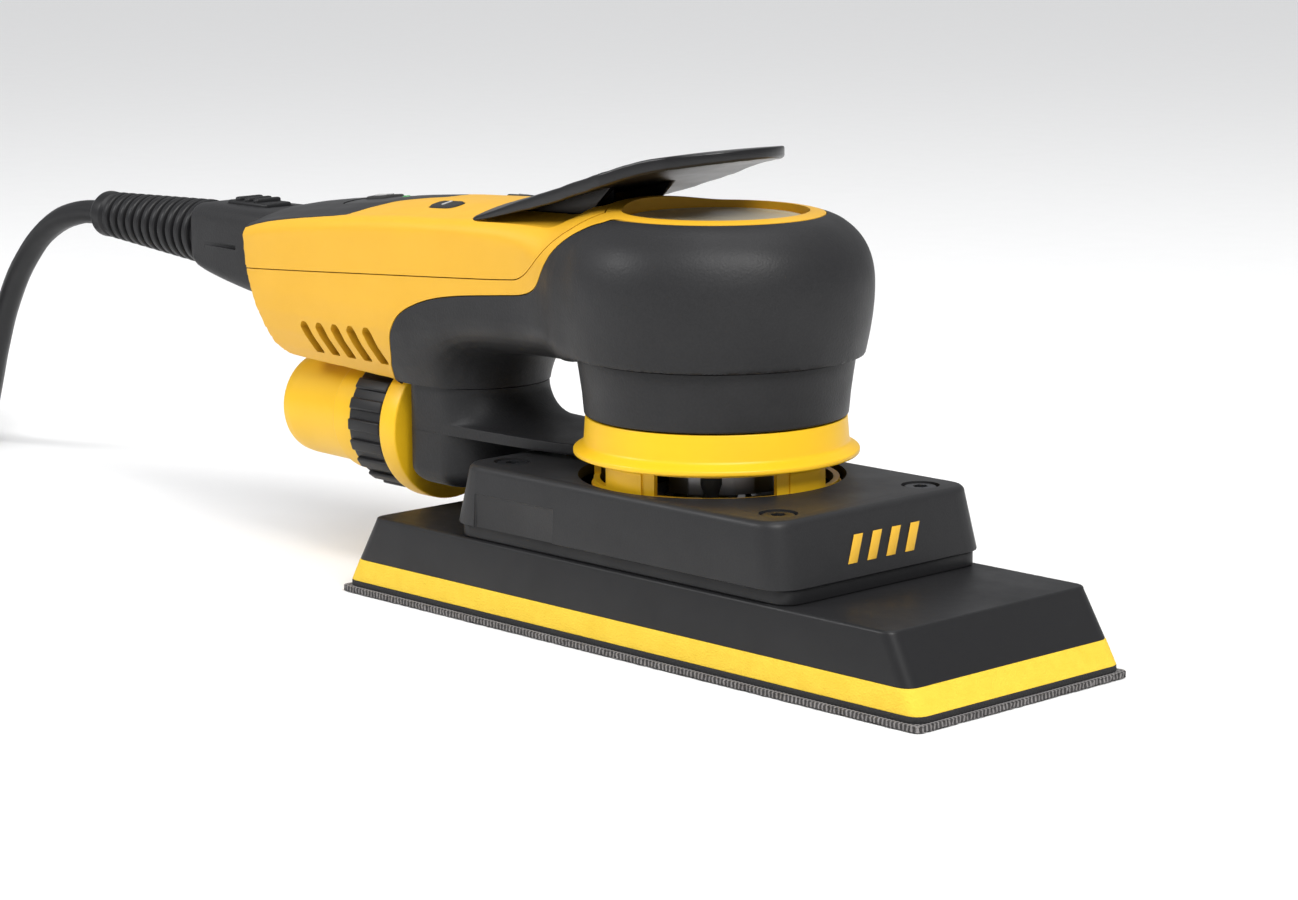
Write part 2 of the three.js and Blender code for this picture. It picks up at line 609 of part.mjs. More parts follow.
// ---------- electronics, motor and bearings ----------
const switchPads = BUTTONS.map(
  ({ x, y, flange }) => box(x - 2.4, x + 2.4, y - 2.4, y + 2.4, 88, flange - 2.2)
);
piece("circuit_board", join(box(-140, -77, -15.4, 15.4, 86.4, 88), ...switchPads), "board");
piece(
  "inlet_socket",
  cut(box(-149.6, -138, -10.6, 10.6, 70, 86), box(-151, -141, -8.6, 8.6, 72, 84)),
  "black",
);
const motorTop = MOTOR.z + MOTOR.height;
const teeth = Array.from({ length: 6 }, (_, i) =>
  box(MOTOR.bore + 1, MOTOR.outer - 4, -3, 3, MOTOR.z, motorTop).rotate([0, 0, 60 * i]),
);
const statorRing = tube(MOTOR.outer, MOTOR.outer - 5, MOTOR.z, motorTop);
const statorBore = tube(MOTOR.bore, 0, MOTOR.z - 1, motorTop + 1);
piece("motor_stator", cut(join(statorRing, ...teeth), statorBore), "dark");
piece(
  "motor_windings",
  tube(MOTOR.outer - 2, MOTOR.bore + 1.5, motorTop + GAP, motorTop + MOTOR.winding),
  "copper",
);
const bearingRace = (z) => tube(BEARING.outer, BEARING.race, z, z + BEARING.height, 32);
const bearingInner = (z) => tube(BEARING.inner, SPINDLE.bore, z, z + BEARING.height, 24);
const UPPER_BEARING = 92;
const LOWER_BEARING = 54;
piece("upper_bearing_outer", bearingRace(UPPER_BEARING), "steel");
piece("lower_bearing_outer", bearingRace(LOWER_BEARING), "steel");
piece("upper_bearing_inner", bearingInner(UPPER_BEARING), "steel");
piece("lower_bearing_inner", bearingInner(LOWER_BEARING), "steel");

// ---------- spindle, fan and counterweight ----------
const offCentre = (shape) => shape.translate([-ORBIT, 0, 0]);
const FAN = { z: 45.6, height: 6, radius: 24.5, hub: 9, blades: 7 };
const WEIGHT = { z: 37.6, height: 6.4, radius: 19 };
const journal = offCentre(tube(SPINDLE.journal, 0, PAD_BEARING.z - 0.6, WEIGHT.z - 0.6, 24));
const shoulder = tube(8.4, 0, WEIGHT.z - 1.6, WEIGHT.z - GAP, 24);
piece("motor_shaft", join(tube(SPINDLE.shaft, 0, WEIGHT.z - 1, SPINDLE.top, 24), journal, shoulder), "steel");
piece("rotor_core", tube(MOTOR.rotor, SPINDLE.bore, MOTOR.z, motorTop, 32), "dark");
const weightPlan = (() => {
  const points = [[-7, -7], [0, -9]];
  for (let i = 0; i <= 10; i++) {
    const turn = Math.PI * (i / 10 - 0.5) * 0.9;
    points.push([WEIGHT.radius * Math.cos(turn), WEIGHT.radius * Math.sin(turn)]);
  }
  points.push([0, 9], [-7, 7]);
  return points;
})();
const weight = cut(
  prismUp(weightPlan, WEIGHT.z, WEIGHT.z + WEIGHT.height),
  drill(0, 0, SPINDLE.bore, WEIGHT.z - 1, WEIGHT.z + WEIGHT.height + 1, 24),
);
piece("counterweight", weight, "dark");
const blades = Array.from({ length: FAN.blades }, (_, i) =>
  box(
    FAN.hub - 1,
    FAN.radius,
    -0.8,
    0.8,
    FAN.z + 1,
    FAN.z + FAN.height,
  ).rotate([0, 0, (360 * i) / FAN.blades]),
);
const fanBody = join(
  tube(FAN.hub, SPINDLE.bore, FAN.z, FAN.z + FAN.height, 24),
  tube(FAN.radius, SPINDLE.bore, FAN.z, FAN.z + 1.2, 28),
  ...blades,
);
piece("fan", fanBody, "black");
const padRing = (outerRadius, innerRadius) =>
  offCentre(tube(outerRadius, innerRadius, PAD_BEARING.z, PAD_BEARING.z + PAD_BEARING.height, 32));
piece("eccentric_bearing_inner", padRing(PAD_BEARING.inner, SPINDLE.journal + GAP), "steel");
piece("eccentric_bearing_outer", padRing(PAD_BEARING.outer, PAD_BEARING.race), "steel");

// ---------- pad: housing, spacer, plate, foam, hook layer, abrasive ----------
const LEG = { at: 16.8, radius: 2.6, top: 45 };
// Dust holes: the near ones open into the housing, the far ones into channels inside the plate.
const holesAt = (distance, z0, z1) =>
  [-1, 1].flatMap((end) => [-1, 1].map((side) =>
    drill(end * distance - ORBIT, side * DUST_HOLES.y, DUST_HOLES.radius, z0, z1, 10),
  ));
const channelTop = Z.spacer - 3.6;
const channels = [-1, 1].flatMap((end) => [-1, 1].map((side) => {
  const [x, y] = [[end * DUST_HOLES.near - ORBIT, end * DUST_HOLES.far - ORBIT], side * DUST_HOLES.y];
  return box(Math.min(...x), Math.max(...x), y - 3, y + 3, Z.plate + 3, channelTop);
}));
const dustHoles = [
  ...holesAt(DUST_HOLES.near, Z.hook - 1, Z.spacer + 1), ...holesAt(DUST_HOLES.far, Z.hook - 1, channelTop),
];
const lift = LAYER.foam;
const plateLength = PAD.length - 2 * PAD.slopeX * lift - PLATE_LENGTH_CUT;
const plateWidth = PAD.width - 2 * PAD.slopeY * lift - PLATE_LENGTH_CUT;
const sheet = roundedBox(PAD.length + 2 * ABRASIVE_LIP, PAD.width + 2 * ABRASIVE_LIP, 3, -ORBIT);
piece("abrasive_sheet", prismUp(sheet, 0, Z.hook), "grit");
piece(
  "hook_layer",
  cut(prismUp(roundedBox(PAD.length, PAD.width, PAD.corner, -ORBIT), Z.hook, Z.foam), ...dustHoles),
  "black",
);
piece("pad_foam", cut(
  tapered(PAD.length, PAD.width, PAD.corner, PAD.slopeX, PAD.slopeY, Z.foam, Z.plate, -ORBIT), ...dustHoles,
), "foam");
const bolts = [-1, 1].flatMap(
  (sx) => [-1, 1].map((sy) => [sx * HOUSING_BOLTS.x - ORBIT, sy * HOUSING_BOLTS.y])
);
const boltHoles = (radius, z0, z1) => bolts.map(([x, y]) => drill(x, y, radius, z0, z1));
const hubTop = PAD_BEARING.z + PAD_BEARING.height + 1.4;
const hub = offCentre(tube(16, 0, Z.spacer - 4, hubTop, 32));
const hubBore = offCentre(join(
  tube(PAD_BEARING.outer + GAP, 0, PAD_BEARING.z - GAP, hubTop + 1, 32),
  tube(PAD_BEARING.race, 0, PAD_BEARING.z - 3, PAD_BEARING.z, 32),
));
const plateBody = join(
  tapered(plateLength, plateWidth, PAD.corner, PAD.slopeX, PAD.slopeY, Z.plate, Z.spacer, -ORBIT), hub,
);
piece(
  "pad_plate",
  cut(plateBody, hubBore, ...dustHoles, ...channels, ...boltHoles(1.6, Z.spacer - 9, Z.spacer + 1)),
  "black",
);
const chamber = (z0, z1) => prismUp(roundedBox(SPACER.length - 10, SPACER.width - 9, 5, -ORBIT), z0, z1);
const bossesAt = (z0, z1) => bolts.map(([x, y]) => drill(x, y, 5, z0, z1, 16));
piece("pad_spacer", cut(
  join(
    cut(
      prismUp(roundedBox(SPACER.length, SPACER.width, SPACER.corner, -ORBIT), Z.spacer, Z.housing),
      chamber(20, 25),
    ),
    ...bossesAt(Z.spacer, Z.housing),
  ),
  ...boltHoles(HOUSING_BOLTS.hole, 20, 25),
), "black");
const roofUnder = Z.roof - HOUSING.roof;
const housingShell = cut(
  tapered(
    HOUSING.length,
    HOUSING.width,
    HOUSING.corner,
    HOUSING.slopeX,
    HOUSING.slopeY,
    Z.housing,
    Z.roof,
    -ORBIT,
  ),
  cut(
    tapered(
      HOUSING.length - 2 * HOUSING.wall, HOUSING.width - 2 * HOUSING.wall, HOUSING.corner - 2,
      HOUSING.slopeX, HOUSING.slopeY, Z.housing - 1, roofUnder, -ORBIT,
    ),
    ...bossesAt(Z.housing - 2, Z.roof),
  ),
);
const collarHole = offCentre(tube(COLLAR.radius + COLLAR_RUN, 0, 20, 50));
const sinks = bolts.map(
  ([x, y]) => drill(x, y, HOUSING_BOLTS.sink, Z.roof - HOUSING_BOLTS.depth, Z.roof + 1, 20)
);
// A shallow sunk rectangle in each long side.
const SIDE_MARK = { x0: -49.7, x1: -20.7, height: 8.4, depth: 0.5 };
const sideMarks = [-1, 1].map((side) => {
  const face = HOUSING.width / 2 - HOUSING.slopeY * (SIDE_MARK.height / 2);
  const ends = [side * (face - SIDE_MARK.depth), side * (face + 3)];
  return box(
    SIDE_MARK.x0,
    SIDE_MARK.x1,
    Math.min(...ends),
    Math.max(...ends),
    Z.housing - 1,
    Z.housing + SIDE_MARK.height,
  );
});
piece(
  "pad_housing",
  cut(housingShell, collarHole, ...sideMarks, ...sinks, ...boltHoles(HOUSING_BOLTS.hole, 20, 45)),
  "black",
);
bolts.forEach(([x, y], i) => {
  const shank = drill(x, y, HOUSING_BOLTS.hole - 0.8, Z.spacer - 8.6 + 1, Z.roof - 1, 12);
  const headOfBolt = drill(x, y, HOUSING_BOLTS.sink - 0.7, Z.roof - HOUSING_BOLTS.depth, Z.roof - 0.3, 16);
  const socket = drill(x, y, 1.9, Z.roof - 1.2, Z.roof + 1, 6);
  piece(`housing_screw_${i + 1}`, cut(join(shank, headOfBolt), socket), "dark");
});
[[1, 1], [-1, 1], [-1, -1], [1, -1]].forEach(([sx, sy], i) => {
  const [x, y] = [sx * LEG.at - ORBIT, sy * LEG.at];
  piece(`swing_leg_${i + 1}`, drill(x, y, LEG.radius, Z.spacer + GAP, LEG.top, 14), "rubber");
});

// ---------- connector, latch, boot, cord, coil, tie and plug ----------
const CONNECTOR_RINGS = [
  [-158, 12.4, 66.4, 91], [-170, 12.2, 67.6, 91], [-185, 11, 69.6, 91], [-201.2, 9.4, 72.2, 90.6],
];
const connectorRings = CONNECTOR_RINGS.map(([x, half, z0, z1]) =>
  roundedBox(2 * half, z1 - z0, 4.5, 0, (z0 + z1) / 2).map(([y, z]) => [x, y, z]),
);
const bodyEnd = prismAcross(
  [...REAR_EDGE.map(([x, z]) => [x - GAP - 0.1, z]), [-93, 50], [0, 50], [0, 110], [-160.4, 110]], -60, 60,
);
const nose = box(-166, -150.4, -10.9, 10.9, 69.4, 87.6);
const LATCH = { x0: -189, x1: -171.5, half: 4.6, z0: 88.6, z1: 92 };
const latchRoom = box(LATCH.x0 - GAP, LATCH.x1 + 1, -LATCH.half - GAP, LATCH.half + GAP, LATCH.z0 - 1.4, 95);
piece("cable_connector", cut(join(cut(loft(connectorRings), bodyEnd), nose), latchRoom), "black");
const ridges = [0, 1, 2].map((i) => {
  const x = LATCH.x0 + 3.2 + i * 4;
  return box(x, x + 2, -LATCH.half, LATCH.half, LATCH.z1 - 0.5, LATCH.z1 + 1);
});
piece(
  "cable_latch",
  join(box(LATCH.x0, LATCH.x1, -LATCH.half, LATCH.half, LATCH.z0, LATCH.z1), ...ridges),
  "black",
);

// the boot leans from the connector's centre line to where the cord leaves it
const bootAngle = (Math.atan2(CORD.exitZ - 81.3, BOOT.front - BOOT.rear) * 180) / Math.PI;
const bootProfile = [[0, 0.3], [BOOT.big - 1.8, 0.3]];
const bootLength = BOOT.front - BOOT.rear;
const ribPitch = (bootLength - 8) / BOOT.ribs;
for (let i = 0; i < BOOT.ribs; i++) {
  const z = 1.2 + i * ribPitch;
  const r = BOOT.big + ((BOOT.small - BOOT.big) * i) / BOOT.ribs;
  bootProfile.push([r - 1.6, z], [r, z + 0.4], [r, z + ribPitch - 2.2]);
}
bootProfile.push(
  [BOOT.small, bootLength - 6.6],
  [BOOT.small + 0.2, bootLength - 3],
  [BOOT.small - 1.4, bootLength - 0.4],
  [0, bootLength - 0.4],
);
piece(
  "cable_boot",
  revolve(bootProfile, 14).rotate([0, -90 + bootAngle, 0]).translate([BOOT.front, 0, 81.3]),
  "rubber",
);

const CORD_POINTS = [
  [-256.4, 0, 82.8], [-268, 0, 81.9], [-284, 0.3, 76.6], [-300, 1.5, 65.5], [-314, 3.6, 51], [-326, 6.8, 36],
  [-337, 10.8, 22.5], [-348, 15.4, 12], [-359, 20.2, 6], [-370, 24.6, 4], [-381, 28, 3.6], [-390, 29.9, 3.5],
];
const cordPath = new THREE.CatmullRomCurve3(
  CORD_POINTS.map((p) => new THREE.Vector3(...p)),
  false,
  "catmullrom",
  0.5,
);
piece("mains_cord", alongCurve(roundSection(CORD.diameter / 2, 8), cordPath, 24), "rubber");
const coilHalf = COIL.across / 2;
const coilSection = roundedBox(COIL.across, COIL.height, 9, COIL.mean, coilHalf, 2);
piece("cord_coil", revolve([...coilSection, coilSection[0]], 28).translate([COIL.x, COIL.y, 0]), "rubber");
// The strap goes round the coil on the side that faces the sander.
const innerEdge = COIL.x + COIL.mean - coilHalf;
const outerEdge = COIL.x + COIL.mean + coilHalf;
const tie = cut(
  box(innerEdge - 2.2, outerEdge + 1.6, COIL.y - 4, COIL.y + 4, 0, COIL.height + 1.6),
  box(innerEdge - 0.9, outerEdge + GAP, COIL.y - 5, COIL.y + 5, -1, COIL.height + GAP),
);
piece("cord_tie", tie, "black");
// The plug lies across the top of the coil.
const PLUG = { radius: 12.5, tail: 15.6, body: 30 };
const plugPlace = [COIL.x - 12, COIL.y - 38, COIL.height + GAP + PLUG.radius];
const plugForm = revolve([
  [0, 0], [4.4, 0], [8, PLUG.tail - 0.6], [PLUG.radius, PLUG.tail], [PLUG.radius, PLUG.tail + PLUG.body],
  [0, PLUG.tail + PLUG.body],
], 16);
const alongPlug = (shape) => shape.rotate([0, 90, 0]).translate(plugPlace);
piece("mains_plug", alongPlug(plugForm), "black");
const plugEnd = PLUG.tail + PLUG.body + GAP;
const pins = join(
  ...[-9.5, 9.5].map((y) => tube(2.3, 0, plugEnd + 0.5, plugEnd + 19, 12).translate([0, y, 0])),
  box(-3, 3, -11.6, 11.6, plugEnd, plugEnd + 1),
);
piece("plug_pins", alongPlug(pins), "steel");

export default sander;
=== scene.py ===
"""Looks for the orbital sander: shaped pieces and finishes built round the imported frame."""

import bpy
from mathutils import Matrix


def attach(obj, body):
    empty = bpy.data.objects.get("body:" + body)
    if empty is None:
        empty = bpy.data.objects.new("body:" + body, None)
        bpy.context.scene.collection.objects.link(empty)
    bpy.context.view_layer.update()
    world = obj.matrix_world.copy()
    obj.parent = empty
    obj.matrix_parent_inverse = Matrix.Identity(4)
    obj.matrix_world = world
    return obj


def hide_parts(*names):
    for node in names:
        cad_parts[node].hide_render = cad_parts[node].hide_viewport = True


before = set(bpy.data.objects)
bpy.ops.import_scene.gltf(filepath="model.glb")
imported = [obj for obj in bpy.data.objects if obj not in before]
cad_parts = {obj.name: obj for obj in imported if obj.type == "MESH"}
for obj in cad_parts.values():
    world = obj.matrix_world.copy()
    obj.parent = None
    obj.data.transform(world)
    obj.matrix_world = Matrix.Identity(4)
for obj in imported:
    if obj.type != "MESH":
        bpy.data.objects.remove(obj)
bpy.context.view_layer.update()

import logging
import math
import random
from dataclasses import dataclass, field
from enum import Enum
from typing import Iterable, Sequence

import bmesh
import bpy
from mathutils import Matrix, Vector
from mathutils.bvhtree import BVHTree

LOG = logging.getLogger("sander")
MM = 0.001  # shapes are made in millimetres and handed over in metres
PORT_HEIGHT = 39.0  # the dust port's axis above the floor
FULL_TURN = 2 * math.pi
PAD_X = -1.5  # the pad's centre: its spindle is this far off the motor's
QUARTERS = ((-1, -1), (-1, 1), (1, -1), (1, 1))
Point2 = tuple[float, float]
Point3 = tuple[float, float, float]


class Body(str, Enum):
    """The bodies that a piece can ride on."""

    MAIN = "body"
    PAD = "pad"
    ROTOR = "rotor"
    LEVER = "lever"
    ON_OFF = "on_off_button"
    SLOWER = "speed_down_button"
    FASTER = "speed_up_button"
    RING = "swivel_ring"
    PORT = "dust_port"
    LATCH = "cable_latch"


class Join(str, Enum):
    """How one closed shape meets another."""

    CUT = "DIFFERENCE"
    KEEP = "INTERSECT"
    ADD = "UNION"


# ---------- small mesh tools ----------
def bare_object(name: str, bm: bmesh.types.BMesh) -> bpy.types.Object:
    """Turns a bmesh into a linked object and frees the bmesh.

    Args:
        name: Name of the object.
        bm: The shape, in millimetres.

    Returns:
        The new object.
    """
    mesh = bpy.data.meshes.new(name)
    bm.to_mesh(mesh)
    bm.free()
    made = bpy.data.objects.new(name, mesh)
    bpy.context.scene.collection.objects.link(made)
    return made


def drop(made: bpy.types.Object) -> None:
    """Removes a helper object and its mesh.

    Args:
        made: The helper.
    """
    mesh = made.data
    bpy.data.objects.remove(made)
    bpy.data.meshes.remove(mesh)


def apply_modifiers(made: bpy.types.Object) -> bpy.types.Object:
    """Bakes an object's modifiers into its mesh.

    Args:
        made: The object.

    Returns:
        The same object.
    """
    bpy.context.view_layer.update()
    graph = bpy.context.evaluated_depsgraph_get()
    mesh = bpy.data.meshes.new_from_object(made.evaluated_get(graph))
    made.modifiers.clear()
    old = made.data
    made.data = mesh
    bpy.data.meshes.remove(old)
    return made


def combine(made: bpy.types.Object, tools: Sequence[bpy.types.Object], how: Join) -> bpy.types.Object:
    """Cuts, keeps or adds closed shapes, and removes the tools.

    Args:
        made: The shape that is kept.
        tools: The shapes it meets, one after another.
        how: What happens where they meet.

    Returns:
        The shape that is kept.
    """
    for tool in tools:
        step = made.modifiers.new("join", "BOOLEAN")
        step.operation = how.value
        step.solver = "MANIFOLD"
        step.object = tool
    apply_modifiers(made)
    for tool in tools:
        drop(tool)
    return made


def twin(made: bpy.types.Object) -> bpy.types.Object:
    """A separate copy of an object and its mesh.

    Args:
        made: The object.

    Returns:
        The copy.
    """
    copy = bpy.data.objects.new(made.name + "_twin", made.data.copy())
    bpy.context.scene.collection.objects.link(copy)
    return copy


def rounded(points: Sequence[Sequence[float]], closed: bool = False, steps: int = 4) -> list[Point2]:
    """Rounds the corners of a line that turns in a plane.

    Args:
        points: Corners as (a, b) or (a, b, radius).
        closed: Whether the line comes back to its start.
        steps: Pieces in each round corner.

    Returns:
        The line's points.
    """
    line: list[Point2] = []
    count = len(points)
    for i, point in enumerate(points):
        radius = point[2] if len(point) > 2 else 0.0
        here = Vector(point[:2])
        if radius <= 0 or (not closed and i in (0, count - 1)):
            line.append((here.x, here.y))
            continue
        before = Vector(points[i - 1][:2]) - here
        after = Vector(points[(i + 1) % count][:2]) - here
        half = before.angle(after) / 2
        reach = min(radius / math.tan(half), before.length * 0.49, after.length * 0.49)
        start = here + before.normalized() * reach
        end = here + after.normalized() * reach
        for k in range(steps + 1):
            t = k / steps
            spot = start * (1 - t) ** 2 + here * (2 * t * (1 - t)) + end * t**2
            line.append((spot.x, spot.y))
    return line


def smooth_line(points: Sequence[Sequence[float]], step: float) -> list[tuple[float, ...]]:
    """Runs a smooth curve through points.

    Args:
        points: The points it passes, each with any number of values.
        step: Rough distance between the results.

    Returns:
        Points along the curve.
    """
    line: list[tuple[float, ...]] = []
    last = len(points) - 1
    for i in range(last):
        p0, p1 = points[max(i - 1, 0)], points[i]
        p2, p3 = points[i + 1], points[min(i + 2, last)]
        count = max(1, round(math.dist(p1, p2) / step))
        for k in range(count):
            t = k / count
            line.append(tuple(
                0.5 * (
                    2 * b + (c - a) * t + (2 * a - 5 * b + 4 * c - d) * t**2 + (3 * b - a - 3 * c + d) * t**3
                )
                for a, b, c, d in zip(p0, p1, p2, p3)
            ))
    line.append(tuple(points[last]))
    return line


def lathe(profile: Sequence[Point2], steps: int = 96) -> bmesh.types.BMesh:
    """Spins a profile about Z.

    Args:
        profile: (radius, height) points, on the axis at both ends or closed on themselves.
        steps: Facets round the turn.

    Returns:
        The closed shape.
    """
    bm = bmesh.new()
    loop = math.dist(profile[0], profile[-1]) < 1e-6
    line = list(profile[:-1]) if loop else list(profile)
    verts = [bm.verts.new((r, 0.0, z)) for r, z in line]
    pairs = list(zip(verts, verts[1:])) + ([(verts[-1], verts[0])] if loop else [])
    edges = [bm.edges.new(pair) for pair in pairs]
    bmesh.ops.spin(
        bm, geom=verts + edges, cent=(0, 0, 0), axis=(0, 0, 1), dvec=(0, 0, 0),
        angle=FULL_TURN, steps=steps, use_merge=True, use_duplicate=False,
    )
    bmesh.ops.remove_doubles(bm, verts=bm.verts[:], dist=1e-4)
    bmesh.ops.recalc_face_normals(bm, faces=bm.faces[:])
    return bm


def prism(outline: Sequence[Point2], z0: float, z1: float) -> bmesh.types.BMesh:
    """Extrudes a plan outline upwards.

    Args:
        outline: Corners in plan.
        z0: Lower height.
        z1: Upper height.

    Returns:
        The closed shape.
    """
    bm = bmesh.new()
    face = bm.faces.new([bm.verts.new((x, y, z0)) for x, y in outline])
    raised = bmesh.ops.extrude_face_region(bm, geom=[face])["geom"]
    verts = [v for v in raised if isinstance(v, bmesh.types.BMVert)]
    bmesh.ops.translate(bm, verts=verts, vec=(0, 0, z1 - z0))
    bmesh.ops.recalc_face_normals(bm, faces=bm.faces[:])
    return bm


def across(outline: Sequence[Point2], y0: float, y1: float) -> bmesh.types.BMesh:
    """Extrudes a side-view outline, as (x, z) points, from y0 to y1.

    Args:
        outline: Corners seen from the side.
        y0: Where it starts.
        y1: Where it ends.

    Returns:
        The closed shape.
    """
    bm = prism(outline, -y1, -y0)
    bmesh.ops.rotate(bm, verts=bm.verts[:], matrix=Matrix.Rotation(math.pi / 2, 3, "X"))
    return bm


def block(low: Point3, high: Point3, bevel: float = 0.0, segments: int = 3) -> bmesh.types.BMesh:
    """A box between two corners, with its edges rounded by a bevel.

    Args:
        low: Lowest corner.
        high: Highest corner.
        bevel: Width of the rounding.
        segments: Pieces in each rounding.

    Returns:
        The closed shape.
    """
    bm = bmesh.new()
    bmesh.ops.create_cube(bm, size=1.0)
    size = [b - a for a, b in zip(low, high)]
    centre = [(a + b) / 2 for a, b in zip(low, high)]
    bmesh.ops.scale(bm, verts=bm.verts[:], vec=size)
    bmesh.ops.translate(bm, verts=bm.verts[:], vec=centre)
    if bevel > 0:
        soften(bm, bm.edges[:], bevel, segments)
    return bm


def soften(
    bm: bmesh.types.BMesh, edges: Iterable[bmesh.types.BMEdge], width: float, segments: int = 3,
) -> None:
    """Rounds some edges of a shape.

    Args:
        bm: The shape.
        edges: The edges that are rounded.
        width: How far the rounding reaches.
        segments: Pieces in each rounding.
    """
    bmesh.ops.bevel(
        bm, geom=list(edges), offset=width, offset_type="OFFSET", segments=segments,
        profile=0.5, affect="EDGES", material=-1, clamp_overlap=True,
    )


def sharp_edges(bm: bmesh.types.BMesh, angle: float = 40.0) -> list[bmesh.types.BMEdge]:
    """Edges whose faces turn by more than an angle in degrees."""
    limit = math.radians(angle)
    return [e for e in bm.edges if len(e.link_faces) == 2 and e.calc_face_angle(0.0) > limit]


def skin_rings(rings: Sequence[Sequence[Point3]]) -> bmesh.types.BMesh:
    """Bridges closed rings of points in order and caps both ends.

    Args:
        rings: Rings with the same number of points each.

    Returns:
        The closed shape.
    """
    bm = bmesh.new()
    loops = []
    for ring in rings:
        verts = [bm.verts.new(point) for point in ring]
        loops.append([bm.edges.new((a, b)) for a, b in zip(verts, verts[1:] + verts[:1])])
    for low, high in zip(loops, loops[1:]):
        bmesh.ops.bridge_loops(bm, edges=low + high)
    bmesh.ops.holes_fill(bm, edges=bm.edges[:], sides=0)
    bmesh.ops.recalc_face_normals(bm, faces=bm.faces[:])
    return bm


def moved(bm: bmesh.types.BMesh, vec: Point3) -> bmesh.types.BMesh:
    """Shifts a whole shape."""
    bmesh.ops.translate(bm, verts=bm.verts[:], vec=vec)
    return bm


def turned(bm: bmesh.types.BMesh, degrees: float, axis: str, centre: Point3 = (0, 0, 0)) -> bmesh.types.BMesh:
    """Turns a whole shape about an axis through a point."""
    bmesh.ops.rotate(
        bm, verts=bm.verts[:], cent=centre, matrix=Matrix.Rotation(math.radians(degrees), 3, axis),
    )
    return bm


def merged(parts: Sequence[bmesh.types.BMesh]) -> bmesh.types.BMesh:
    """Gathers shapes into one bmesh without joining their surfaces.

    Args:
        parts: The shapes, which are used up.

    Returns:
        All of them in one.
    """
    whole = bmesh.new()
    for part in parts:
        mesh = bpy.data.meshes.new("part")
        part.to_mesh(mesh)
        part.free()
        whole.from_mesh(mesh)
        bpy.data.meshes.remove(mesh)
    return whole


# ---------- finishes ----------
def group_socket(
    group: bpy.types.NodeTree, name: str, kind: str, value: object = None, out: bool = False,
) -> None:
    """Adds a named input or output to a node group.

    Args:
        group: The node group.
        name: The socket's name.
        kind: The socket's type.
        value: Its default, if any.
        out: Whether it is an output.
    """
    socket = group.interface.new_socket(name=name, in_out="OUTPUT" if out else "INPUT", socket_type=kind)
    if value is not None:
        socket.default_value = value


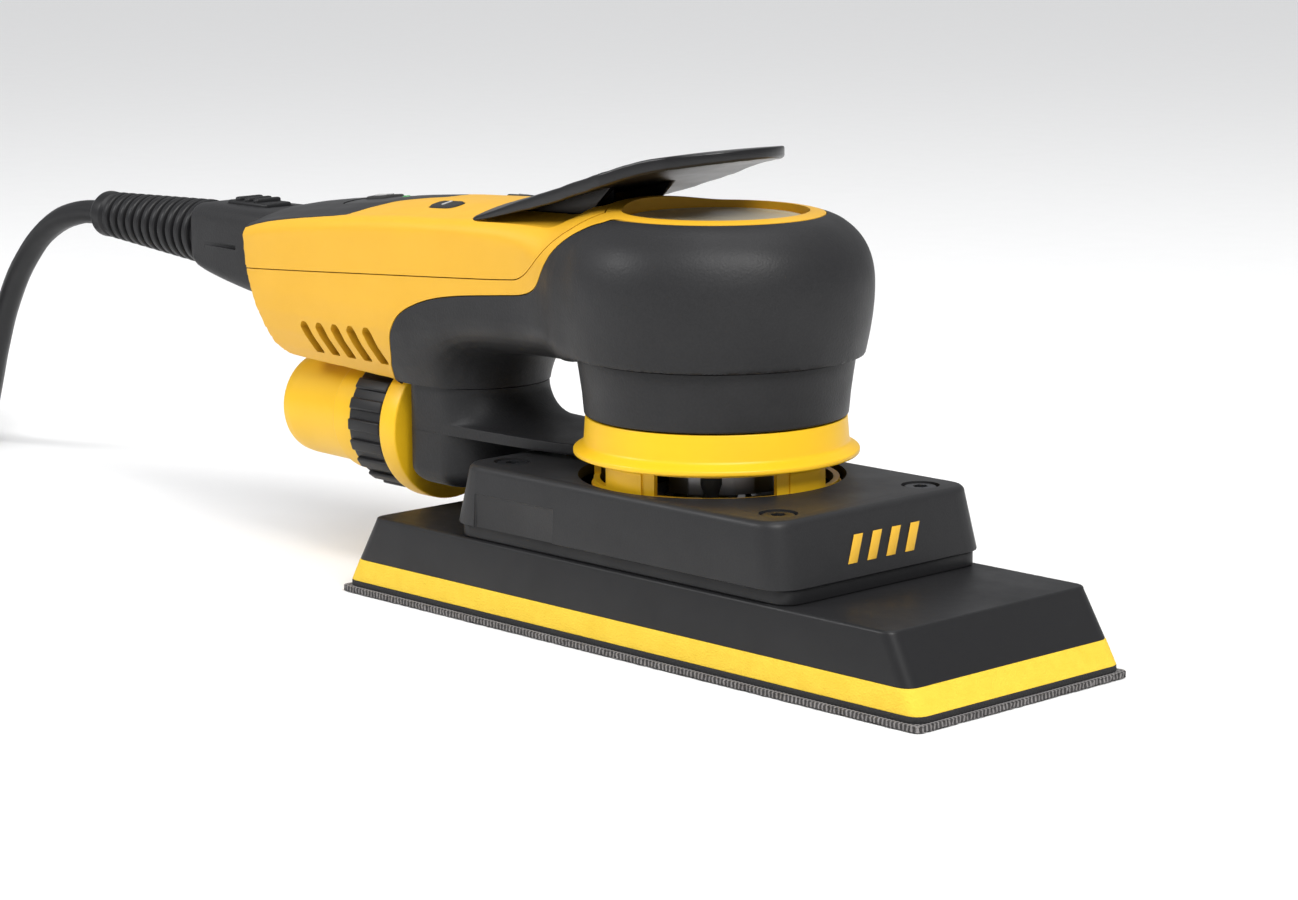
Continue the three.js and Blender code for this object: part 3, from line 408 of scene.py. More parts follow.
class NodeGroups:
    """The shared effects, each built once as a node group."""

    _made: dict[str, bpy.types.NodeTree] = {}

    @classmethod
    def _start(cls, name: str) -> tuple[bpy.types.NodeTree, bpy.types.Node, bpy.types.Node]:
        """Makes an empty group with its input and output nodes.

        Args:
            name: The group's name.

        Returns:
            The group with its input and output nodes.
        """
        group = bpy.data.node_groups.new(name, "ShaderNodeTree")
        cls._made[name] = group
        return group, group.nodes.new("NodeGroupInput"), group.nodes.new("NodeGroupOutput")

    @classmethod
    def grain(cls) -> bpy.types.NodeTree:
        """Leathery moulded grain: a height and a mask from two scales of cells and noise; the mask places
        painted highlight specks on the grain's tops.

        Returns:
            The group, with Height and Mask outputs.
        """
        if "moulded_grain" in cls._made:
            return cls._made["moulded_grain"]
        group, given, result = cls._start("moulded_grain")
        group_socket(group, "Size", "NodeSocketFloat", 0.8)
        group_socket(group, "Soft", "NodeSocketFloat", 0.5)
        group_socket(group, "Height", "NodeSocketFloat", out=True)
        group_socket(group, "Mask", "NodeSocketFloat", out=True)
        nodes, links = group.nodes, group.links
        coords = nodes.new("ShaderNodeTexCoord")
        scale = nodes.new("ShaderNodeMath")
        scale.operation = "DIVIDE"
        scale.inputs[0].default_value = 1000.0
        links.new(given.outputs["Size"], scale.inputs[1])
        cells = nodes.new("ShaderNodeTexVoronoi")
        cells.feature = "SMOOTH_F1"
        noise = nodes.new("ShaderNodeTexNoise")
        noise.inputs["Detail"].default_value = 3.0
        for node in (cells, noise):
            links.new(coords.outputs["Object"], node.inputs["Vector"])
            links.new(scale.outputs[0], node.inputs["Scale"])
        mix = nodes.new("ShaderNodeMix")
        links.new(given.outputs["Soft"], mix.inputs["Factor"])
        links.new(cells.outputs["Distance"], mix.inputs["A"])
        links.new(noise.outputs["Fac"], mix.inputs["B"])
        links.new(mix.outputs["Result"], result.inputs["Height"])
        # The noise also marks where the painted highlight specks go.
        links.new(noise.outputs["Fac"], result.inputs["Mask"])
        return group

    @classmethod
    def tone(cls) -> bpy.types.NodeTree:
        """Slight unevenness of a colour and of a gloss, as handled mouldings have.

        Returns:
            The group, with Colour and Roughness outputs.
        """
        if "handled_tone" in cls._made:
            return cls._made["handled_tone"]
        group, given, result = cls._start("handled_tone")
        group_socket(group, "Colour", "NodeSocketColor", (0.5, 0.5, 0.5, 1.0))
        group_socket(group, "Shade", "NodeSocketColor", (0.4, 0.4, 0.4, 1.0))
        group_socket(group, "Patch Scale", "NodeSocketFloat", 60.0)
        group_socket(group, "Amount", "NodeSocketFloat", 0.3)
        group_socket(group, "Roughness", "NodeSocketFloat", 0.5)
        group_socket(group, "Smudge", "NodeSocketFloat", 0.08)
        group_socket(group, "Colour", "NodeSocketColor", out=True)
        group_socket(group, "Roughness", "NodeSocketFloat", out=True)
        nodes, links = group.nodes, group.links
        coords = nodes.new("ShaderNodeTexCoord")
        patches = nodes.new("ShaderNodeTexNoise")
        patches.inputs["Detail"].default_value = 5.0
        patches.inputs["Roughness"].default_value = 0.6
        links.new(coords.outputs["Object"], patches.inputs["Vector"])
        links.new(given.outputs["Patch Scale"], patches.inputs["Scale"])
        spread = nodes.new("ShaderNodeMapRange")
        spread.inputs["From Min"].default_value = 0.35
        spread.inputs["From Max"].default_value = 0.7
        links.new(patches.outputs["Fac"], spread.inputs["Value"])
        amount = nodes.new("ShaderNodeMath")
        amount.operation = "MULTIPLY"
        links.new(spread.outputs["Result"], amount.inputs[0])
        links.new(given.outputs["Amount"], amount.inputs[1])
        mix = nodes.new("ShaderNodeMix")
        mix.data_type = "RGBA"
        links.new(amount.outputs[0], mix.inputs["Factor"])
        links.new(given.outputs["Colour"], mix.inputs["A"])
        links.new(given.outputs["Shade"], mix.inputs["B"])
        links.new(mix.outputs["Result"], result.inputs["Colour"])
        rub = nodes.new("ShaderNodeMath")
        rub.operation = "MULTIPLY_ADD"
        links.new(spread.outputs["Result"], rub.inputs[0])
        links.new(given.outputs["Smudge"], rub.inputs[1])
        links.new(given.outputs["Roughness"], rub.inputs[2])
        links.new(rub.outputs[0], result.inputs["Roughness"])
        return group

    @classmethod
    def threads(cls) -> bpy.types.NodeTree:
        """Two crossed sets of threads in plan: a height, and a mask that is 1 on a thread.

        Returns:
            The group, with Height and Mask outputs.
        """
        if "crossed_threads" in cls._made:
            return cls._made["crossed_threads"]
        group, given, result = cls._start("crossed_threads")
        group_socket(group, "Pitch", "NodeSocketFloat", 1.2)
        group_socket(group, "Height", "NodeSocketFloat", out=True)
        group_socket(group, "Mask", "NodeSocketFloat", out=True)
        nodes, links = group.nodes, group.links
        coords = nodes.new("ShaderNodeTexCoord")
        parts = nodes.new("ShaderNodeSeparateXYZ")
        links.new(coords.outputs["Object"], parts.inputs[0])
        rate = nodes.new("ShaderNodeMath")
        rate.operation = "DIVIDE"
        rate.inputs[0].default_value = 1000.0 * math.pi
        links.new(given.outputs["Pitch"], rate.inputs[1])
        waves = []
        for axis in ("X", "Y"):
            phase = nodes.new("ShaderNodeMath")
            phase.operation = "MULTIPLY"
            links.new(parts.outputs[axis], phase.inputs[0])
            links.new(rate.outputs[0], phase.inputs[1])
            sine = nodes.new("ShaderNodeMath")
            sine.operation = "SINE"
            links.new(phase.outputs[0], sine.inputs[0])
            size = nodes.new("ShaderNodeMath")
            size.operation = "ABSOLUTE"
            links.new(sine.outputs[0], size.inputs[0])
            waves.append(size)
        top = nodes.new("ShaderNodeMath")
        top.operation = "MAXIMUM"
        for i, wave in enumerate(waves):
            links.new(wave.outputs[0], top.inputs[i])
        links.new(top.outputs[0], result.inputs["Height"])
        edge = nodes.new("ShaderNodeMapRange")
        edge.inputs["From Min"].default_value = 0.72
        edge.inputs["From Max"].default_value = 0.88
        links.new(top.outputs[0], edge.inputs["Value"])
        links.new(edge.outputs["Result"], result.inputs["Mask"])
        return group


@dataclass(frozen=True)
class Finish:
    """A moulded, painted or metal surface.

    Sizes are in millimetres and colours are linear.
    """

    name: str
    colour: Point3
    shade: Point3
    roughness: float
    slot: str
    metallic: float = 0.0
    coat: float = 0.0
    specular: float = 0.5
    patch_scale: float = 60.0
    amount: float = 0.35
    smudge: float = 0.08
    grain_size: float = 0.8
    grain_soft: float = 0.5
    grain_depth: float = 0.02
    # Share of a lighter colour on the grain's tops: painted highlight specks.
    painted_highlight_specks: float = 0.0

    def _group(
        self, tree: bpy.types.NodeTree, group: bpy.types.NodeTree, values: dict[str, object],
    ) -> bpy.types.Node:
        """Places a node group and sets its inputs.

        Args:
            tree: The material's nodes.
            group: The node group.
            values: Input names and their values.

        Returns:
            The placed node.
        """
        node = tree.nodes.new("ShaderNodeGroup")
        node.node_tree = group
        for key, value in values.items():
            node.inputs[key].default_value = value
        return node

    def build(self) -> bpy.types.Material:
        """Makes the material once and returns it.

        Returns:
            The material.
        """
        known = bpy.data.materials.get(self.name)
        if known:
            return known
        material = bpy.data.materials.new(self.name)
        material.use_nodes = True
        tree = material.node_tree
        tree.nodes.clear()
        out = tree.nodes.new("ShaderNodeOutputMaterial")
        shader = tree.nodes.new("ShaderNodeBsdfPrincipled")
        tree.links.new(shader.outputs[0], out.inputs["Surface"])
        shader.inputs["Metallic"].default_value = self.metallic
        shader.inputs["Coat Weight"].default_value = self.coat
        shader.inputs["Coat Roughness"].default_value = 0.25
        shader.inputs["Specular IOR Level"].default_value = self.specular
        tone = self._group(tree, NodeGroups.tone(), {
            "Colour": (*self.colour, 1.0), "Shade": (*self.shade, 1.0), "Patch Scale": self.patch_scale,
            "Amount": self.amount, "Roughness": self.roughness, "Smudge": self.smudge,
        })
        grain = self._group(tree, NodeGroups.grain(), {"Size": self.grain_size, "Soft": self.grain_soft})
        bump = tree.nodes.new("ShaderNodeBump")
        bump.inputs["Strength"].default_value = 1.0
        bump.inputs["Distance"].default_value = self.grain_depth * MM
        tree.links.new(grain.outputs["Height"], bump.inputs["Height"])
        tree.links.new(bump.outputs["Normal"], shader.inputs["Normal"])
        tree.links.new(tone.outputs["Roughness"], shader.inputs["Roughness"])
        self.colouring(tree, tone, grain, shader)
        return material

    def colouring(
        self, tree: bpy.types.NodeTree, tone: bpy.types.Node, grain: bpy.types.Node, shader: bpy.types.Node,
    ) -> None:
        """Feeds the base colour: the tone, with painted highlight specks, a lighter copy of the colour, at
        the top of the grain.

        Args:
            tree: The material's nodes.
            tone: The node with the uneven colour.
            grain: The node with the grain.
            shader: The material's shader.
        """
        # The lighter copy of the colour is a painted highlight, mixed in as specks where the grain's mask is
        # high.
        mix = tree.nodes.new("ShaderNodeMix")
        mix.data_type = "RGBA"
        mix.inputs["B"].default_value = tuple(min(1.0, c * 2.2 + 0.01) for c in self.colour) + (1.0,)
        weight = tree.nodes.new("ShaderNodeMath")
        weight.operation = "MULTIPLY"
        weight.inputs[1].default_value = self.painted_highlight_specks
        tree.links.new(grain.outputs["Mask"], weight.inputs[0])
        tree.links.new(weight.outputs[0], mix.inputs["Factor"])
        tree.links.new(tone.outputs["Colour"], mix.inputs["A"])
        tree.links.new(mix.outputs["Result"], shader.inputs["Base Color"])


@dataclass(frozen=True)
class NetFinish(Finish):
    """A surface of crossed threads, with dark gaps between them."""

    pitch: float = 1.2
    gap: Point3 = (0.02, 0.02, 0.02)

    def colouring(
        self, tree: bpy.types.NodeTree, tone: bpy.types.Node, grain: bpy.types.Node, shader: bpy.types.Node,
    ) -> None:
        """Feeds the base colour: the tone on the threads and the gap colour between them.

        Args:
            tree: The material's nodes.
            tone: The node with the uneven colour.
            grain: The node with the grain; not used here.
            shader: The material's shader.
        """
        threads = self._group(tree, NodeGroups.threads(), {"Pitch": self.pitch})
        mix = tree.nodes.new("ShaderNodeMix")
        mix.data_type = "RGBA"
        mix.inputs["A"].default_value = (*self.gap, 1.0)
        tree.links.new(threads.outputs["Mask"], mix.inputs["Factor"])
        tree.links.new(tone.outputs["Colour"], mix.inputs["B"])
        tree.links.new(mix.outputs["Result"], shader.inputs["Base Color"])
        for node in tree.nodes:
            if node.type == "BUMP":
                second = tree.nodes.new("ShaderNodeBump")
                second.inputs["Distance"].default_value = 0.25 * MM
                tree.links.new(threads.outputs["Height"], second.inputs["Height"])
                tree.links.new(node.outputs["Normal"], second.inputs["Normal"])
                tree.links.new(second.outputs["Normal"], shader.inputs["Normal"])
                break


@dataclass(frozen=True)
class LensFinish(Finish):
    """A clear coloured lens."""

    def build(self) -> bpy.types.Material:
        """Makes the material, with light passing through it.

        Returns:
            The material.
        """
        fresh = bpy.data.materials.get(self.name) is None
        material = super().build()
        if fresh:
            shader = next(n for n in material.node_tree.nodes if n.type == "BSDF_PRINCIPLED")
            shader.inputs["Transmission Weight"].default_value = 0.5
        return material


YELLOW = Finish(
    "amber_moulding", (0.7, 0.385, 0.022), (0.62, 0.325, 0.018), 0.38, "body_yellow", coat=0.05, specular=0.3,
    amount=0.3, grain_size=0.5, grain_depth=0.004, smudge=0.1,
)
BRIGHT_YELLOW = Finish(
    "collar_moulding", (0.8, 0.47, 0.012), (0.72, 0.405, 0.01), 0.36, "body_yellow", coat=0.05, specular=0.3,
    amount=0.3, grain_size=0.5, grain_depth=0.004,
)
# The grip, cover, housing and ring blacks carry painted highlight specks on their grain.
GRIP = Finish(
    "soft_grip", (0.014, 0.014, 0.015), (0.009, 0.009, 0.01), 0.44, "grip_black", specular=0.24,
    grain_size=0.62, grain_soft=0.65, grain_depth=0.075, painted_highlight_specks=0.25, smudge=0.1,
)
COVER = Finish(
    "satin_cover", (0.014, 0.014, 0.015), (0.009, 0.009, 0.01), 0.38, "cover_black", specular=0.28,
    grain_size=0.4, grain_depth=0.02, painted_highlight_specks=0.15,
)
GLOSS_BLACK = Finish(
    "lever_black", (0.008, 0.008, 0.009), (0.005, 0.005, 0.006), 0.3, "cover_black", specular=0.3,
    grain_size=0.35, grain_depth=0.008, coat=0.1,
)
PAD_BLACK = Finish(
    "housing_black", (0.016, 0.016, 0.017), (0.01, 0.01, 0.011), 0.4, "pad_black", specular=0.24,
    grain_size=0.42, grain_soft=0.6, grain_depth=0.03, painted_highlight_specks=0.22,
)
PLATE_BLACK = Finish(
    "plate_black", (0.014, 0.014, 0.015), (0.009, 0.009, 0.01), 0.36, "pad_black", specular=0.22,
    grain_size=0.5, grain_depth=0.008, smudge=0.14,
)
FOAM = Finish(
    "lemon_foam", (0.76, 0.52, 0.045), (0.66, 0.43, 0.03), 0.8, "foam_yellow", specular=0.3,
    grain_size=0.45, grain_soft=0.2, grain_depth=0.16, patch_scale=240.0, amount=0.5,
)
HOOKS = Finish(
    "hook_pile", (0.012, 0.012, 0.013), (0.03, 0.03, 0.032), 0.85, "hook_fabric",
    grain_size=0.4, grain_soft=0.3, grain_depth=0.2,
)
NET = NetFinish(
    "coated_net", (0.21, 0.2, 0.2), (0.13, 0.12, 0.12), 0.82, "abrasive_grey", grain_size=0.22,
    grain_soft=0.4, grain_depth=0.06, patch_scale=300.0, amount=0.6, gap=(0.035, 0.033, 0.033),
)
RUBBER = Finish(
    "button_rubber", (0.013, 0.013, 0.014), (0.02, 0.02, 0.021), 0.55, "button_rubber",
    grain_size=0.35, grain_depth=0.012,
)
RING_BLACK = Finish(
    "ring_black", (0.008, 0.008, 0.009), (0.005, 0.005, 0.006), 0.45, "button_rubber", specular=0.3,
    grain_size=0.4, grain_depth=0.02, painted_highlight_specks=0.12,
)
CABLE = Finish(
    "cable_rubber", (0.008, 0.008, 0.009), (0.005, 0.005, 0.006), 0.4, "cord_rubber", specular=0.3,
    grain_size=0.5, grain_depth=0.012,
)
LEG = Finish("leg_rubber", (0.014, 0.014, 0.015), (0.02, 0.02, 0.02), 0.6, "leg_rubber", grain_size=0.5)
LABEL = Finish(
    "plate_pale", (0.46, 0.4, 0.27), (0.36, 0.31, 0.2), 0.28, "label", coat=0.3, grain_size=0.6,
    grain_depth=0.005,
)
MARK = Finish("printed_mark", (0.72, 0.42, 0.03), (0.62, 0.33, 0.02), 0.45, "body_yellow", grain_depth=0.004)
PALE_MARK = Finish("pale_mark", (0.42, 0.42, 0.42), (0.34, 0.34, 0.34), 0.5, "label", grain_depth=0.004)
LENS = LensFinish("lamp_lens", (0.1, 0.55, 0.15), (0.08, 0.45, 0.12), 0.2, "lamp", grain_depth=0.002)
BOARD = Finish(
    "circuit_lacquer", (0.012, 0.09, 0.035), (0.02, 0.06, 0.03), 0.35, "board_green", patch_scale=400.0,
)
STEEL = Finish(
    "ground_steel", (0.5, 0.5, 0.52), (0.42, 0.42, 0.44), 0.28, "steel", metallic=1.0, grain_size=0.3,
    grain_depth=0.004,
)
DARK_STEEL = Finish(
    "coated_steel", (0.05, 0.052, 0.058), (0.03, 0.03, 0.034), 0.34, "dark_steel", metallic=0.8,
    grain_size=0.4, grain_depth=0.01,
)
COPPER = Finish(
    "winding_copper", (0.5, 0.2, 0.07), (0.4, 0.14, 0.05), 0.35, "copper", metallic=1.0, grain_depth=0.03,
)
PLATED = Finish(
    "plated_pins", (0.68, 0.67, 0.62), (0.6, 0.59, 0.55), 0.2, "plated", metallic=1.0, grain_depth=0.002,
)


def hand_over(
    made: bpy.types.Object, name: str, body: Body, finish: Finish, replaces: Sequence[
        str
    ] = (), crease: float = 35.0,
) -> bpy.types.Object:
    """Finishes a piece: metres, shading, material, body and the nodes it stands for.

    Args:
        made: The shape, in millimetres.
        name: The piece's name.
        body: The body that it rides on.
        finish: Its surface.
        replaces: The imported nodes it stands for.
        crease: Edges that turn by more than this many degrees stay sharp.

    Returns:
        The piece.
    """
    bm = bmesh.new()
    bm.from_mesh(made.data)
    bmesh.ops.remove_doubles(bm, verts=bm.verts[:], dist=2e-3)
    bmesh.ops.dissolve_degenerate(bm, edges=bm.edges[:], dist=1e-4)
    limit = math.radians(crease)
    for face in bm.faces:
        face.smooth = True
    for edge in bm.edges:
        edge.smooth = len(edge.link_faces) != 2 or edge.calc_face_angle(0.0) < limit
    bmesh.ops.scale(bm, verts=bm.verts[:], vec=(MM, MM, MM))
    bm.to_mesh(made.data)
    bm.free()
    made.name = name
    made.data.name = name
    made.data.materials.clear()
    made.data.materials.append(finish.build())
    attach(made, body.value)
    if replaces:
        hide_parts(*replaces)
    LOG.info("made %s: %d faces on %s", name, len(made.data.polygons), body.value)
    return made


def deliver(
    bm: bmesh.types.BMesh, name: str, body: Body, finish: Finish, replaces: Sequence[
        str
    ] = (), crease: float = 35.0,
) -> bpy.types.Object:
    """Turns a bmesh straight into a finished piece."""
    return hand_over(bare_object(name, bm), name, body, finish, replaces, crease)


# ---------- forms that flow into each other ----------
def bevelled_disc(profile: Sequence[Sequence[float]], steps: int = 96) -> bmesh.types.BMesh:
    """Spins a closed profile whose corners carry their own radii."""
    line = rounded(profile, closed=True, steps=3)
    return lathe([*line, line[0]], steps)


def along_port(bm: bmesh.types.BMesh) -> bmesh.types.BMesh:
    """Lays a shape made about Z along the dust port's axis, its upper end pointing backwards."""
    return moved(turned(bm, -90, "Y"), (0, 0, PORT_HEIGHT))


def cylinder(radius: float, z0: float, z1: float, steps: int = 64) -> bmesh.types.BMesh:
    """A plain round tool about Z.

    Args:
        radius: Its radius.
        z0: Lower height.
        z1: Upper height.
        steps: Facets round it.

    Returns:
        The closed shape.
    """
    bm = bmesh.new()
    bmesh.ops.create_cone(
        bm, cap_ends=True, cap_tris=False, segments=steps, radius1=radius, radius2=radius, depth=z1 - z0,
    )
    return moved(bm, (0, 0, (z0 + z1) / 2))


def tool(bm: bmesh.types.BMesh) -> bpy.types.Object:
    """A shape that is used to cut or keep another."""
    return bare_object("tool", bm)


def offset_line(line: Sequence[Sequence[float]], by: float) -> list[Point2]:
    """Shifts an open line to its left by a distance.

    Args:
        line: The line's points.
        by: The distance; a negative one shifts it to its right.

    Returns:
        The shifted points.
    """
    moved_line: list[Point2] = []
    last = len(line) - 1
    for i, (a, b) in enumerate(line):
        before, after = line[max(i - 1, 0)], line[min(i + 1, last)]
        run = Vector((after[0] - before[0], after[1] - before[1])).normalized()
        moved_line.append((a - run.y * by, b + run.x * by))
    return moved_line


@dataclass
class BlendedForm:
    """Closed shapes that meet in smooth hollows, as a moulding does.

    Attributes:
        parts: The shapes, which are used up by close().
        blend: How far each side of a crease the hollow reaches.
    """

    parts: list[bpy.types.Object]
    blend: float
    _trees: list[BVHTree] = field(init=False, repr=False)

    def __post_init__(self) -> None:
        """Builds a search tree for each shape."""
        self._trees = []
        for part in self.parts:
            bm = bmesh.new()
            bm.from_mesh(part.data)
            bmesh.ops.triangulate(bm, faces=bm.faces[:])
            self._trees.append(BVHTree.FromBMesh(bm))
            bm.free()

    def _distance(self, spot: Vector) -> tuple[float, Vector]:
        """Signed distance to the blended surface and the direction in which it grows.

        Args:
            spot: Where it is measured.

        Returns:
            The distance, negative inside, and the direction.
        """
        total, slope = 1e9, Vector((0, 0, 1))
        for tree in self._trees:
            near, normal, _, far = tree.find_nearest(spot)
            ray = spot - near
            inside = ray.dot(normal) < 0
            size = -far if inside else far
            way = normal if far < 1e-4 else (ray / far) * (-1 if inside else 1)
            if total > 1e8:
                total, slope = size, way
                continue
            share = min(1.0, max(0.0, 0.5 + 0.5 * (total - size) / self.blend))
            total = total + (size - total) * share - self.blend * share * (1 - share)
            slope = slope.lerp(way, share)
        return total, slope

    def _settle(self, bm: bmesh.types.BMesh, offset: float, rounds: int) -> None:
        """Moves every point onto the surface at an offset.

        Args:
            bm: The shape whose points are moved.
            offset: Distance out of the blended surface.
            rounds: How many times they are moved.
        """
        for _ in range(rounds):
            for vert in bm.verts:
                size, slope = self._distance(vert.co)
                vert.co -= slope * ((size - offset) / max(slope.length_squared, 0.25))

    def _remesh(self, made: bpy.types.Object, voxel: float) -> bpy.types.Object:
        """Rebuilds a shape's surface on an even grid.

        Args:
            made: The shape.
            voxel: The grid's size.

        Returns:
            The same shape.
        """
        step = made.modifiers.new("remesh", "REMESH")
        step.mode = "VOXEL"
        step.voxel_size = voxel
        return apply_modifiers(made)

    def level(self, name: str, offset: float, voxel: float, smoothing: int = 2) -> bpy.types.Object:
        """The blended surface, or one at an even distance from it.

        Args:
            name: Name of the shape.
            offset: Distance out of the surface, or into it when negative.
            voxel: Size of the grid that the surface is built on.
            smoothing: Rounds of smoothing.

        Returns:
            A closed shape.
        """
        whole = bmesh.new()
        for part in self.parts:
            whole.from_mesh(part.data)
        made = self._remesh(bare_object(name, whole), voxel)
        if offset < -1:
            bm = bmesh.new()
            bm.from_mesh(made.data)
            self._settle(bm, offset, 3)
            bm.to_mesh(made.data)
            bm.free()
            self._remesh(made, voxel)
        bm = bmesh.new()
        bm.from_mesh(made.data)
        self._settle(bm, offset, 2)
        for _ in range(smoothing):
            bmesh.ops.smooth_vert(
                bm, verts=bm.verts[:], factor=0.5, use_axis_x=True, use_axis_y=True, use_axis_z=True,
            )
            self._settle(bm, offset, 1)
        bm.to_mesh(made.data)
        bm.free()
        return made

    def close(self) -> None:
        """Removes the shapes it was made from."""
        for part in self.parts:
            drop(part)


@dataclass
class Surface:
    """Reads heights off a shape from above."""

    tree: BVHTree

    @classmethod
    def over(cls, made: bpy.types.Object) -> "Surface":
        """Reads from an object, in millimetres.

        Args:
            made: The object.

        Returns:
            A reader of its heights.
        """
        bm = bmesh.new()
        bm.from_mesh(made.data)
        tree = BVHTree.FromBMesh(bm)
        bm.free()
        return cls(tree)

    def height(self, x: float, y: float) -> float:
        """Height of the top at a place in plan."""
        hit = self.tree.ray_cast(Vector((x, y, 200.0)), Vector((0, 0, -1)))[0]
        return hit.z if hit else 0.0

    def drape(self, bm: bmesh.types.BMesh) -> bmesh.types.BMesh:
        """Raises a flat shape by the surface's height under each point.

        Args:
            bm: The flat shape.

        Returns:
            The same shape, raised.
        """
        for vert in bm.verts:
            vert.co.z += self.height(vert.co.x, vert.co.y)
        return bm


def slab(
    outline: Sequence[Point2], z0: float, z1: float, top: float, bottom: float = 0.0, slices: float = 2.0,
) -> bmesh.types.BMesh:
    """A flat plate with rounded upper edges, sliced so that it can be bent.

    Args:
        outline: Its plan.
        z0: Underside.
        z1: Top.
        top: Rounding of the upper edges.
        bottom: Rounding of the lower edges.
        slices: Distance between the slices, or 0 for none.

    Returns:
        The plate.
    """
    bm = prism(outline, z0, z1)
    for height, width in ((z1, top), (z0, bottom)):
        if width > 0:
            rim = [
                e for e in bm.edges
                if all(abs(v.co.z - height) < 1e-4 for v in e.verts) and e.calc_face_angle(0.0) > 0.9
            ]
            soften(bm, rim, width, 3)
    if slices:
        for axis in (0, 1):
            values = [v.co[axis] for v in bm.verts]
            low, high = min(values), max(values)
            count = int((high - low) / slices)
            for i in range(1, count + 1):
                place = [0.0, 0.0, 0.0]
                place[axis] = low + (high - low) * i / (count + 1)
                normal = [0.0, 0.0, 0.0]
                normal[axis] = 1.0
                bmesh.ops.bisect_plane(
                    bm, geom=bm.verts[:] + bm.edges[:] + bm.faces[:], dist=1e-5, plane_co=place,
                    plane_no=normal,
                )
    return bm


def round_plan(length: float, width: float, corner: float, x: float = 0.0, y: float = 0.0) -> list[Point2]:
    """A rounded rectangle in plan.

    Args:
        length: Size along X.
        width: Size along Y.
        corner: The corners' radius.
        x: The middle's X.
        y: The middle's Y.

    Returns:
        The outline.
    """
    a, b = length / 2, width / 2
    corners = [(x + a, y - b, corner), (x + a, y + b, corner), (x - a, y + b, corner), (x - a, y - b, corner)]
    return rounded(corners, closed=True, steps=6)


